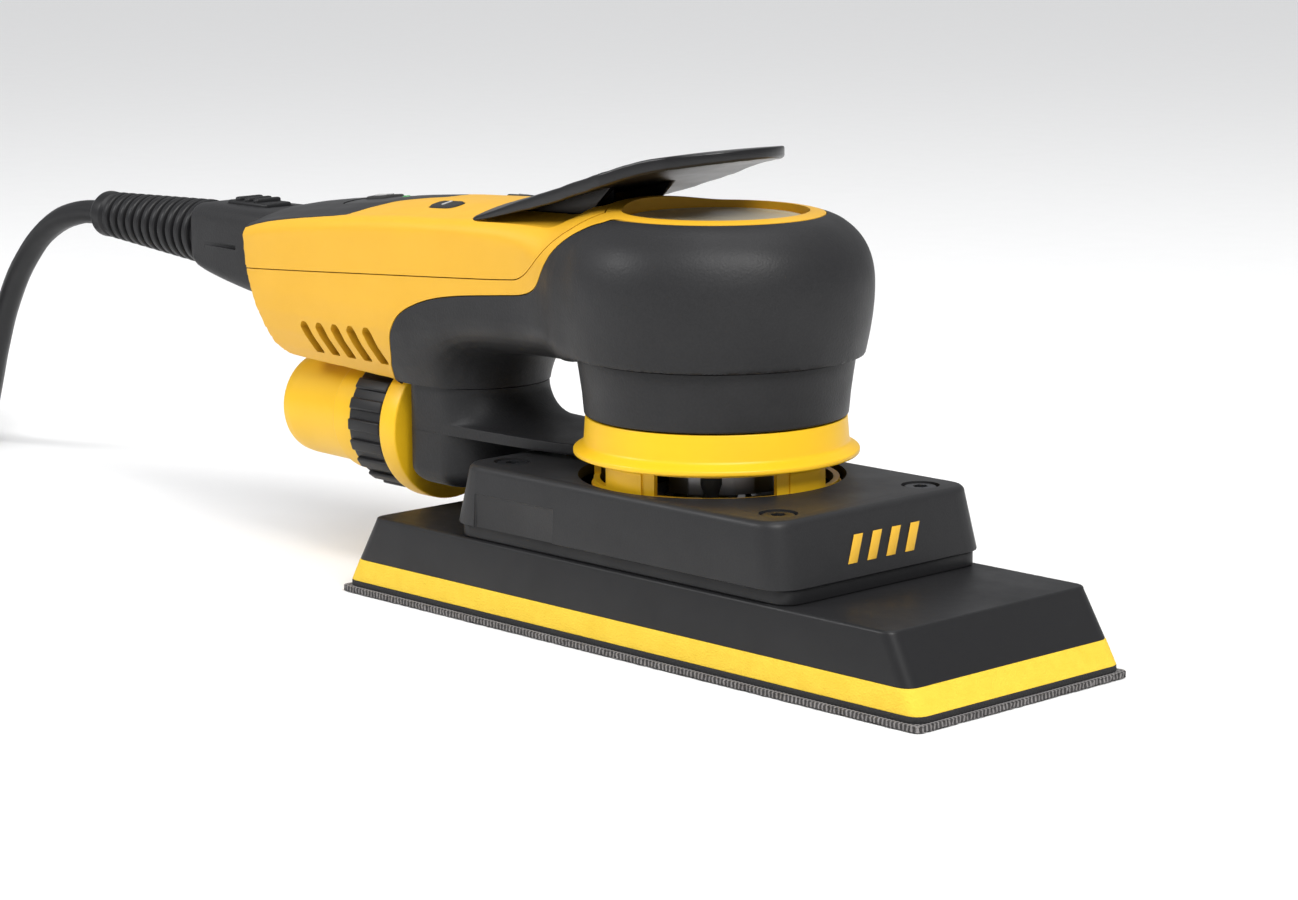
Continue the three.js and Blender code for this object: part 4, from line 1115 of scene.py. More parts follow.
# ---------- the body ----------
@dataclass
class BodyShell:
    """The body: head, rear grip, column, cover and its seams. Sizes are in millimetres."""

    voxel: float = 0.9
    wall: float = 2.6
    seam: float = 0.14
    blend: float = 7.0
    rim_radius: float = 26.4
    recess: float = 22.5
    recess_floor: float = 100.6
    head_base: float = 69.1
    head_profile: tuple[Point2, ...] = (
        (35.8, 69.1), (37, 75), (37.7, 80), (38, 84.6), (37.8, 89.3), (36.5, 94), (34.1, 97.8), (30.4, 100.9),
        (26.5, 102.5), (23.5, 103.2),
    )
    stations: tuple[tuple[float, ...], ...] = (
        (-166, 20.5, 91, 46, 4, 19, 26), (-150, 22.6, 94.2, 46, 4, 21, 26), (-125, 24.2, 97.2, 46, 4, 23, 26),
        (-97, 25, 99.6, 46, 4, 24, 26), (-84, 25.2, 100.3, 48, 4, 24, 25), (-76, 25.3, 100.7, 57, 4, 22, 14),
        (-68, 25.4, 101.1, 61.8, 4, 21, 11), (-52, 25.8, 102, 63.2, 5, 21, 10.5),
        (-40, 26.8, 102.5, 63.6, 7, 21, 10.5),
        (-31, 28.8, 102.8, 64.5, 11, 22, 9.5), (-22, 31.2, 102.3, 66, 14, 22, 7),
        (-14, 29, 98, 70, 14, 12, 5),
    )
    crown: float = 3.2
    rear_edge: tuple[Point2, ...] = (
        (-160, 96), (-160, 86), (-159, 79), (-156.2, 72), (-152.3, 63.2), (-149.6, 57.2), (-145.5, 54.8),
    )
    lower_edge: tuple[Point2, ...] = ((-97, 52.9), (-46, 52.9))
    column_rear: float = -98.7
    column_front: float = -70.0
    column_start: float = -84.0
    column_corner: float = 6.0
    column_half: float = 17.0
    column_base: float = 52.8
    seam_line: tuple[Point2, ...] = (
        (-170, 76.4), (-110, 80.4), (-66, 83.2), (-48, 84.5), (-41, 85.6), (-35, 89.4), (-28, 95.4),
        (-22, 99.6),
        (-14, 106),
    )
    grip_edge: tuple[Point2, ...] = (
        (-101.6, 50), (-98.6, 56), (-95.8, 61.2), (-94, 66.4), (-89.4, 71.8), (-80, 75.9), (-68, 78.4),
        (-50, 80.4),
        (-40, 81.6), (-34, 83.8), (-30, 88), (-25, 94), (-19, 98.4), (-11, 101.4), (-2, 102.5), (50, 102.5),
    )
    cover_edge: tuple[Point2, ...] = (
        (-170, 19.2), (-150, 20.8), (-119, 21.6), (-114.5, 19.6), (-111, 14.5), (-107, 9), (-101, 6.2),
        (-95.5, 4), (-94, 1.5),
    )
    arch: float = 20.9

    def _ring(self, station: Sequence[float]) -> list[Point3]:
        """One cross section of the rear grip.

        Args:
            station: Its X, half width, top, underside, upper corner, and the lower corner's width and height.

        Returns:
            The points of the section.
        """
        x, half, top, low, corner, low_width, low_height = station
        edge = top - self.crown
        side: list[Point2] = [
            (0, top), ((half - corner) * 0.28, top - 0.25), ((half - corner) / 2, top - 0.8),
        ]
        side.append(((half - corner) * 0.78, top - 1.95))
        for i in range(8):
            turn = math.pi / 2 * (1 - i / 7)
            side.append((half - corner + corner * math.cos(turn), edge - corner + corner * math.sin(turn)))
        for i in range(1, 7):
            side.append((half, edge - corner + (low + low_height - edge + corner) * i / 7))
        for i in range(9):
            turn = math.pi / 2 * i / 8
            side.append((half - low_width * (1 - math.cos(turn)), low + low_height * (1 - math.sin(turn))))
        side.append(((half - low_width) / 2, low))
        side.append((0, low))
        return [(x, y, z) for y, z in side] + [(x, -y, z) for y, z in side[-2:0:-1]]

    def _rear(self) -> bpy.types.Object:
        """The rear grip, closed.

        Returns:
            The closed shape.
        """
        body = bare_object("rear", skin_rings([self._ring(s) for s in smooth_line(self.stations, 3.0)]))
        outline = [*self.rear_edge, *self.lower_edge, (5, 52.9), (5, 112), (-160, 112)]
        return combine(
            body, [tool(across(rounded([(x, z, 6) for x, z in outline], True, 3), -60, 60))], Join.KEEP,
        )

    def column_plan(self, inset: float = 0.0) -> list[Point2]:
        """The column's outline in plan.

        Args:
            inset: How far the outline is drawn in.

        Returns:
            The outline.
        """
        rear, half = self.column_rear + inset, self.column_half - inset
        start, corner = self.column_start, self.column_corner
        nose = self.column_front - inset - start
        plan = []
        for i in range(33):
            turn = -math.pi / 2 + math.pi * i / 32
            plan.append((start + nose * math.cos(turn), half * math.sin(turn)))
        for first, side in ((math.pi / 2, 1), (math.pi, -1)):
            for i in range(9):
                turn = first + math.pi / 2 * i / 8
                plan.append(
                    (
                        rear + corner + corner * math.cos(turn),
                        side * (half - corner) + corner * math.sin(turn),
                    )
                )
        return plan

    def _forms(self) -> tuple[bpy.types.Object, bpy.types.Object]:
        """The outer surface and the room inside it.

        Returns:
            The outer shape and the inner one, both closed.
        """
        profile = [(0.0, self.head_base), *smooth_line(self.head_profile, 1.2), (0.0, 103.35)]
        head = bare_object("head", lathe(profile, 128))
        column = bare_object("column", prism(self.column_plan(), 46, 74))
        form = BlendedForm([head, self._rear(), column], self.blend)
        voxel = self.voxel * 1.0
        outer = form.level("outer", 0.0, voxel)
        inner = form.level("inner", -self.wall, max(1.5, voxel), smoothing=1)
        form.close()
        combine(inner, [
            tool(cylinder(self.recess + 2.6, 97.8, 110)),
            tool(self.port_tool(self.arch + self.wall, 98.8, 175)),
        ], Join.CUT)
        return outer, inner

    def port_tool(self, radius: float, start: float, end: float) -> bmesh.types.BMesh:
        """A round tool on the dust port's axis, from one distance behind the head to another."""
        return along_port(cylinder(radius, start, end, 72))

    def _slots(self) -> list[bpy.types.Object]:
        """The air slots' tools.

        Returns:
            One tool for each pair of slots.
        """
        tools = []
        for i in range(5):
            x, w, rise = -131.8 + i * 6.9, 1.95, i * 0.3
            outline = rounded([
                (x - w, 64.1 + rise, 1), (x - w * 0.3, 65.6 + rise, 1), (x + w * 0.6, 65.6 + rise, 1),
                (x + w, 64.4 + rise, 1), (x + 3.6 + w, 57.2, 0.6), (x + 3.6 - w, 57.2, 0.6),
            ], closed=True, steps=3)
            tools.append(tool(across(outline, -60, 60)))
        return tools

    def _zone_over(self, line: Sequence[Point2], by: float) -> bpy.types.Object:
        """Everything above a side-view line."""
        return tool(across([*offset_line(line, by), (60, 125), (-185, 125)], -70, 70))

    def _grip_zone(self, by: float) -> bpy.types.Object:
        """Everything under the grip's edge line, but not the bright rim.

        Args:
            by: How far the zone reaches past the line.

        Returns:
            The closed tool.
        """
        line = offset_line(smooth_line(self.grip_edge, 1.5), by)
        zone = tool(across([*line, (60, 30), (line[0][0], 30)], -70, 70))
        return combine(
            zone, [tool(cylinder(self.rim_radius + (0.1 if by < 0 else -0.1), 95, 112, 128))], Join.CUT,
        )

    def _cover_zone(self, margin: float) -> bpy.types.Object:
        """The rear cover's plan, as a tall tool.

        Args:
            margin: How far the tool reaches past the cover.

        Returns:
            The closed tool.
        """
        half = smooth_line(self.cover_edge, 2.0)
        line = offset_line(half, margin)
        plan = [*line, (line[-1][0] + margin, 0.0), *[(x, -y) for x, y in reversed(line)]]
        return tool(prism(plan, 86 - margin, 115))

    def build(self) -> Surface:
        """Makes the shells, the grip and the cover, and returns the top surface.

        Returns:
            A reader of the top's heights.
        """
        outer, inner = self._forms()
        top = Surface.over(outer)
        shell = combine(outer, [inner], Join.CUT)
        combine(shell, [
            tool(cylinder(34.4, 40, self.head_base)),
            tool(cylinder(32.9, 60, 75, 128)),
            tool(block((-99, -60, 30), (10, 60, self.column_base))),
            tool(self.port_tool(self.arch, 98.9, 175)),
            tool(cylinder(self.recess, self.recess_floor, 112, 128)),
            tool(block((-175, -11.4, 68.6), (-150, 11.4, 88.4), 2)),
            *self._slots(),
        ], Join.CUT)
        grip = combine(twin(shell), [self._grip_zone(-self.seam)], Join.KEEP)
        combine(shell, [self._grip_zone(self.seam)], Join.CUT)
        cover = combine(twin(shell), [self._cover_zone(0.0)], Join.KEEP)
        combine(shell, [self._cover_zone(0.25)], Join.CUT)
        seam = smooth_line(self.seam_line, 1.5)
        over = self._zone_over(seam, self.seam)
        combine(over, [tool(cylinder(self.rim_radius + 0.15, 95, 112, 128))], Join.CUT)
        lower_cut = self._zone_over(seam, -self.seam)
        combine(lower_cut, [tool(cylinder(self.rim_radius - 0.15, 95, 112, 128))], Join.CUT)
        upper = combine(twin(shell), [over], Join.KEEP)
        lower = combine(shell, [lower_cut], Join.CUT)
        self._open_top(upper, top)
        controls = Controls(top)
        controls.cut_into(cover, upper)
        hand_over(upper, "upper_shell_skin", Body.MAIN, YELLOW, ["upper_shell"])
        hand_over(lower, "lower_shell_skin", Body.MAIN, YELLOW, ["lower_shell"])
        hand_over(grip, "grip_skin", Body.MAIN, GRIP, ["grip_overmould"])
        hand_over(cover, "rear_cover_skin", Body.MAIN, COVER, ["rear_cover"])
        controls.build()
        return top

    def _open_top(self, upper: bpy.types.Object, top: Surface) -> None:
        """Opens the lever's pocket and sinks the bed that the lever lies over.

        Args:
            upper: The upper shell.
            top: A reader of the top's heights.
        """
        bed = slab(round_plan(34.5, 47, 5, -47.25, 0), -1.0, 12.0, 0.0, 0.0, 3.0)
        for vert in bed.verts:
            if vert.co.z < 0:
                vert.co.z += top.height(vert.co.x, max(-22.0, min(22.0, vert.co.y)))
            else:
                vert.co.z += 105.0
        combine(upper, [
            tool(bed),
            tool(block((-63, -12.2, 88), (-25.5, 12.2, 112), 1.5)),
        ], Join.CUT)


# ---------- the controls on the rear cover ----------
@dataclass(frozen=True)
class Button:
    """A button and what it carries."""

    body: Body
    centre: Point2
    size: Point2
    corner: float
    mark: str

    def plan(self, margin: float) -> list[Point2]:
        """Its outline, grown by a margin."""
        return round_plan(
            self.size[0] + 2 * margin, self.size[1] + 2 * margin, self.corner + margin, *self.centre,
        )


@dataclass
class Controls:
    """The control panel, its lamp and the three buttons. Sizes are in millimetres."""

    top: Surface
    panel_x: Point2 = (-131.0, -112.0)
    panel_half: float = 11.0
    panel_corner: float = 4.0
    panel_depth: float = 1.2
    rise: float = 0.5
    stroke: float = 0.7
    lamp: Point3 = (-116.0, 0.0, 1.2)
    buttons: tuple[Button, ...] = (
        Button(Body.ON_OFF, (-125.0, 0.0), (8.4, 8.4), 2.2, "power"),
        Button(Body.SLOWER, (-84.0, -13.0), (10.0, 5.6), 2.6, "minus"),
        Button(Body.FASTER, (-84.0, 13.0), (10.0, 5.6), 2.6, "plus"),
    )

    def _panel_plan(self, margin: float) -> list[Point2]:
        """The panel's outline, grown by a margin.

        Args:
            margin: How far it is grown.

        Returns:
            The outline.
        """
        length = self.panel_x[1] - self.panel_x[0] + 2 * margin
        middle = sum(self.panel_x) / 2
        return round_plan(length, 2 * (self.panel_half + margin), self.panel_corner + margin, middle, 0)

    def cut_into(self, cover: bpy.types.Object, upper: bpy.types.Object) -> None:
        """Cuts the panel's seat and the buttons' wells.

        Args:
            cover: The rear cover.
            upper: The upper shell.
        """
        seat = slab(self._panel_plan(0.15), -self.panel_depth - 0.1, 6.0, 0.0, 0.0, 2.5)
        combine(cover, [tool(self.top.drape(seat)), self._well(self.buttons[0])], Join.CUT)
        combine(upper, [self._well(button) for button in self.buttons[1:]], Join.CUT)

    def _well(self, button: Button) -> bpy.types.Object:
        """The hole round a button."""
        return tool(prism(button.plan(0.25), 84, 112))

    def _mark(self, button: Button) -> list[bmesh.types.BMesh]:
        """The raised mark on a button.

        Args:
            button: The button that carries it.

        Returns:
            The mark's shapes, still flat.
        """
        x, y = button.centre
        w = self.stroke / 2
        if button.mark == "power":
            ring = bevelled_disc([(2.0, 0.4, 0.1), (2.6, 0.4, 0.1), (2.6, 0.72, 0.1), (2.0, 0.72, 0.1)], 40)
            arc = combine(tool(ring), [tool(block((0.4, -1.0, -1), (4, 1.0, 2)))], Join.CUT)
            bm = bmesh.new()
            bm.from_mesh(arc.data)
            drop(arc)
            return [moved(bm, (x - 0.3, y, 0)), block((x + 0.2, y - w, 0.4), (x + 2.9, y + w, 0.72), 0.08, 2)]
        bars = [block((x - w, y - 1.6, 0.4), (x + w, y + 1.6, 0.75), 0.1, 2)]
        if button.mark == "plus":
            bars.append(block((x - 1.6, y - w, 0.4), (x + 1.6, y + w, 0.74), 0.1, 2))
        return bars

    def build(self) -> None:
        """Makes the panel, the lamp, the buttons and their marks."""
        panel = slab(self._panel_plan(-0.05), -self.panel_depth, -0.15, 0.3, 0.0, 2.0)
        plate = tool(self.top.drape(panel))
        x, y, radius = self.lamp
        combine(plate, [
            tool(prism(self.buttons[0].plan(0.25), 84, 112)),
            tool(moved(cylinder(radius + 0.1, 84, 112, 32), (x, y, 0))),
        ], Join.CUT)
        hand_over(plate, "control_panel_skin", Body.MAIN, GLOSS_BLACK, ["control_panel"])
        for button in self.buttons:
            key = slab(button.plan(0.0), -5.0, self.rise, 0.7, 0.0, 1.2)
            deliver(self.top.drape(key), f"{button.body.value}_key", button.body, RUBBER, [button.body.value])
            mark = merged(self._mark(button))
            deliver(self.top.drape(mark), f"{button.body.value}_mark", button.body, PALE_MARK)
        dome = rounded(
            [(0.0, 0.12, 0), (radius * 0.7, 0.08, 0.4), (radius, -0.2, 0.1), (radius, -2.2, 0)], False, 4,
        )
        lamp = lathe([(0.0, -2.2), *reversed(dome)], 32)
        deliver(self.top.drape(moved(lamp, (x, y, 0))), "status_lamp", Body.MAIN, LENS, ["status_led"])


# ---------- head skirt, collar, rating plate ----------
@dataclass
class HeadRings:
    """The round parts under and on top of the head. Sizes are in millimetres."""

    windows: tuple[Point2, ...] = ((-74, -16), (16, 74), (107, 141), (-141, -107))
    window_floor: float = 38.8
    window_roof: float = 43.8
    frame_over: float = 6.5
    frame_depth: float = 0.5

    def _wedge(self, start: float, end: float, z0: float, z1: float, inner: float = 0.0) -> bpy.types.Object:
        """A slice of a round, between two directions in degrees.

        Args:
            start: Where it starts, in degrees.
            end: Where it ends.
            z0: Lower height.
            z1: Upper height.
            inner: Radius of its inner side, or 0 for the axis.

        Returns:
            The closed tool.
        """
        count = 16
        turns = [math.radians(start + (end - start) * i / count) for i in range(count + 1)]
        plan = [(45 * math.cos(t), 45 * math.sin(t)) for t in turns]
        plan += [
            (inner * math.cos(t), inner * math.sin(t)) for t in reversed(turns)
        ] if inner else [(0.0, 0.0)]
        return tool(prism(plan, z0, z1))

    def _collar(self) -> None:
        """The bright ring with its air windows."""
        ring = tool(bevelled_disc([
            (28.2, 36.2, 0.3), (30.2, 36.2, 0.5), (30.2, 44, 0.9), (34.6, 45, 0.5), (34.6, 46.1, 0.6),
            (32.1, 47.6, 1.2), (31.6, 54.2, 0.3), (29.4, 54.2, 0.3), (29.4, 45.5, 0.6), (28.2, 44, 0.3),
        ], 144))
        frames = []
        for start, end in self.windows:
            grow = self.frame_over if start in (-74, 16) else 4.0
            frames.append(self._wedge(start - grow, end + grow, 37.4, 44.6, 30.2 - self.frame_depth))
        holes = [self._wedge(start, end, self.window_floor, self.window_roof) for start, end in self.windows]
        arm = tool(block((-40, -9, 41.6), (-20, 9, 43.6), 0.3))
        combine(ring, [*frames, *holes, arm], Join.CUT)
        hand_over(ring, "collar_skin", Body.MAIN, BRIGHT_YELLOW, ["collar"])

    def _skirt(self) -> None:
        """The black ring between the collar and the head."""
        deliver(bevelled_disc([
            (29.8, 54.6, 0.3), (31.9, 54.6, 0.5), (32.4, 60, 2), (33.1, 65, 2), (33.7, 68.8, 0.4),
            (30.6, 68.8, 0.3),
            (29.8, 60, 2),
        ], 144), "head_skirt_skin", Body.MAIN, GRIP, ["head_skirt"])

    def _plate(self) -> None:
        """The pale plate in the head's round recess, with a raised rim."""
        deliver(bevelled_disc([
            (0.0, 100.9, 0), (21.3, 100.9, 0.1), (21.3, 101.5, 0.2), (20.3, 101.5, 0.15), (20.0, 101.3, 0.1),
            (0.0, 101.3, 0),
        ], 96), "rating_plate_skin", Body.MAIN, LABEL, ["rating_plate"])

    def build(self) -> None:
        """Makes the rings and the plate."""
        self._collar()
        self._skirt()
        self._plate()


# ---------- dust path ----------
@dataclass
class DustPath:
    """The duct, its flange, the swivel ring and the hose port. Sizes are in millimetres.

    Attributes:
        under_arm: (height, front) points up to the arm's underside.
        over_arm: (height, front) points from the arm's top back up to the column.
    """

    bore: float = 11.8
    floor: float = 26.5
    foot_radius: float = 4.5
    under_arm: tuple[Point2, ...] = (
        (31.6, -70), (38.2, -70), (39.8, -69), (40.6, -66), (40.62, -44), (40.7, -21.6),
    )
    over_arm: tuple[Point2, ...] = (
        (41.2, -20), (42.9, -20), (43.3, -22), (43.5, -36), (43.75, -50), (44.3, -58), (45.6, -63.4),
        (47.8, -67.2),
        (50.4, -69.4), (52.6, -70),
    )
    ribs: int = 20
    rib_width: float = 3.1
    shell: BodyShell = field(default_factory=BodyShell)

    def _duct_ring(self, height: float, front: float, inset: float) -> list[Point3]:
        """One level of the duct: the column's plan, with its nose drawn out into the arm.

        Args:
            height: The level above the floor.
            front: How far forward the nose reaches.
            inset: How far the outline is drawn in.

        Returns:
            The points of the level's outline, always as many.
        """
        start, half = self.shell.column_start, self.shell.column_half - inset
        reach = front - inset - start
        plain = self.shell.column_front - start
        fullness = 1.0 - 0.4 * min(1.0, max(0.0, (reach - plain) / 45.0))
        ring = []
        for i in range(65):
            turn = math.pi * (i / 64 - 0.5)
            side = math.copysign(abs(math.sin(turn)) ** fullness, turn)
            ring.append((start + reach * math.cos(turn), half * side, height))
        rear, corner = self.shell.column_rear + inset, self.shell.column_corner
        for first, side in ((math.pi / 2, 1), (math.pi, -1)):
            for i in range(13):
                turn = first + math.pi / 2 * i / 12
                ring.append((
                    rear + corner + corner * math.cos(turn),
                    side * (half - corner) + corner * math.sin(turn), height,
                ))
        return ring

    def _duct(self) -> None:
        """The column's lower half, which flows into the arm that runs to the collar."""
        nose = self.shell.column_front
        rings = []
        radius = self.foot_radius
        for i in range(9):
            turn = math.pi / 2 * i / 8
            level = self.floor + radius * (1 - math.cos(turn))
            rings.append(self._duct_ring(level, nose, radius * (1 - math.sin(turn))))
        for height, front in [*smooth_line(self.under_arm, 0.8), *smooth_line(self.over_arm, 0.35)]:
            rings.append(self._duct_ring(height, front, 0.0))
        duct = bare_object("duct", skin_rings(rings))
        room = tool(prism(self.shell.column_plan(self.shell.wall), 29.5, 50))
        channel = tool(prism(rounded([
            (-82, 12, 2), (-82, -12, 2), (-70, -10.5, 4), (-56, -9, 4), (-20, -9, 0), (-20, 9, 0),
            (-56, 9, 4),
            (-70, 10.5, 4),
        ], True, 3), 41.6, 42.6))
        combine(duct, [
            room, channel,
            tool(along_port(cylinder(self.bore, 80, 110, 64))),
            tool(cylinder(34.9, 30, 62, 128)),
        ], Join.CUT)
        hand_over(duct, "dust_duct_skin", Body.MAIN, GRIP, ["dust_duct"])

    def _flange(self) -> None:
        """The bright ring between the duct and the swivel ring."""
        deliver(along_port(bevelled_disc([
            (11.8, 99, 0.4), (19.5, 99, 0.6), (19.5, 105.7, 0.9), (11.8, 105.7, 0.4),
        ], 96)), "duct_flange_skin", Body.MAIN, BRIGHT_YELLOW, ["duct_flange"])

    def _ring(self) -> None:
        """The swivel ring with its finger ribs."""
        core = bevelled_disc([
            (16, 106, 0.3), (17.5, 106, 0.5), (17.5, 120.6, 0.7), (16, 120.6, 0.3),
        ], 120)
        ribs = []
        for i in range(self.ribs):
            rib = block(
                (17.0, -self.rib_width / 2, 106.8), (18.55, self.rib_width / 2, 119.8), 0.5, 3,
            )
            ribs.append(turned(rib, 360 * i / self.ribs, "Z"))
        ring = tool(core)
        combine(ring, [tool(rib) for rib in ribs], Join.ADD)
        bm = bmesh.new()
        bm.from_mesh(ring.data)
        drop(ring)
        deliver(along_port(bm), "swivel_ring_skin", Body.RING, RING_BLACK, ["swivel_ring"])

    def _port(self) -> None:
        """The hose port, stepped and open at both ends."""
        deliver(along_port(bevelled_disc([
            (11.8, 108.6, 0.4), (15.6, 108.6, 0.5), (15.6, 129.6, 0.8), (14.3, 131, 0.6), (14.0, 150.8, 0.4),
            (13.7, 154, 1.0), (12.0, 154, 0.8), (11.8, 150, 1),
        ], 112)), "dust_port_skin", Body.PORT, BRIGHT_YELLOW, ["dust_port"])

    def _seal(self) -> None:
        """The rubber seal inside the swivel ring."""
        deliver(along_port(bevelled_disc([
            (13.2, 106.3, 0.3), (14.8, 106.3, 0.4), (14.8, 108.2, 0.4), (13.2, 108.2, 0.3),
        ], 64)), "port_seal_skin", Body.MAIN, CABLE, ["port_seal"])

    def build(self) -> None:
        """Makes the whole dust path."""
        self._duct()
        self._flange()
        self._ring()
        self._port()
        self._seal()


# ---------- lever ----------
@dataclass
class PowerLever:
    """The wide paddle lever on top. Sizes are in millimetres."""

    half: float = 23.0
    rear: float = -63.5
    disc: float = 21.0
    disc_x: float = -6.5
    front_share: float = 0.42
    thickness: float = 3.4
    stations: tuple[tuple[float, ...], ...] = (
        (-64.5, 101.4, 3.7, 0.8), (-58, 103, 3.4, 1.5), (-50, 105, 2.9, 2.2), (-40, 107.5, 2.3, 3),
        (-30, 110, 1.8, 3.3), (-12, 114.5, 0.8, 3.4), (-4, 116.5, 0.5, 3.4), (3, 117.6, 0.4, 3.2),
        (16, 119, 0.4, 2.6),
    )
    cheek: tuple[Point2, ...] = (
        (-61.5, 93.2), (-55, 92.2), (-40, 97.4), (-31, 101.8), (-29.5, 103.5), (-22, 110.4), (-30, 108.2),
        (-61.5, 100.8),
    )

    def _plan(self) -> list[Point2]:
        """The paddle seen from above: a square rear, straight sides and a round front.

        Returns:
            The outline.
        """
        reach = math.degrees(math.acos(self.front_share))
        front = []
        for i in range(41):
            turn = math.radians(-reach + 2 * reach * i / 40)
            front.append((self.disc_x + self.disc * math.cos(turn), self.disc * math.sin(turn)))
        corners = [(self.rear, self.half, 2.5), (self.rear, -self.half, 2.5)]
        sides = [(-16.0, -self.half, 8.0), *[(x, y, 0.0) for x, y in front], (-16.0, self.half, 8.0)]
        return rounded([*corners, *sides], closed=True, steps=6)

    def _bend(self, bm: bmesh.types.BMesh) -> bmesh.types.BMesh:
        """Gives a flat paddle its rise, its crown and its taper.

        Args:
            bm: The flat paddle.

        Returns:
            The same paddle, bent.
        """
        line = smooth_line(self.stations, 0.5)
        for vert in bm.verts:
            x, y, z = vert.co
            near = min(line, key=lambda s: abs(s[0] - x))
            top = near[1] - near[2] * (y / self.half) ** 2
            vert.co.z = top + z * near[3] / self.thickness
        return bm

    def _cheeks(self) -> list[bmesh.types.BMesh]:
        """The two side plates that reach the pin, and the plunger over the switch.

        Returns:
            The shapes that join the paddle.
        """
        parts = []
        for y0 in (-11.0, 9.0):
            plate = across(rounded([(x, z, 1.2) for x, z in self.cheek], True, 3), y0, y0 + 2)
            soften(plate, sharp_edges(plate, 60), 0.3, 2)
            parts.append(plate)
        parts.append(moved(bevelled_disc([
            (0, 97.6, 0), (1.8, 97.6, 0.6), (1.8, 106.4, 0.1), (0, 106.4, 0),
        ], 32), (-38, 0, 0)))
        return parts

    def build(self) -> None:
        """Makes the paddle with its edge band and its side plates."""
        flat = slab(self._plan(), -self.thickness, 0.0, 0.55, 0.9, 2.4)
        paddle = tool(self._bend(flat))
        combine(paddle, [tool(part) for part in self._cheeks()], Join.ADD)
        hand_over(paddle, "power_lever_skin", Body.LEVER, GLOSS_BLACK, ["power_lever"], crease=42)


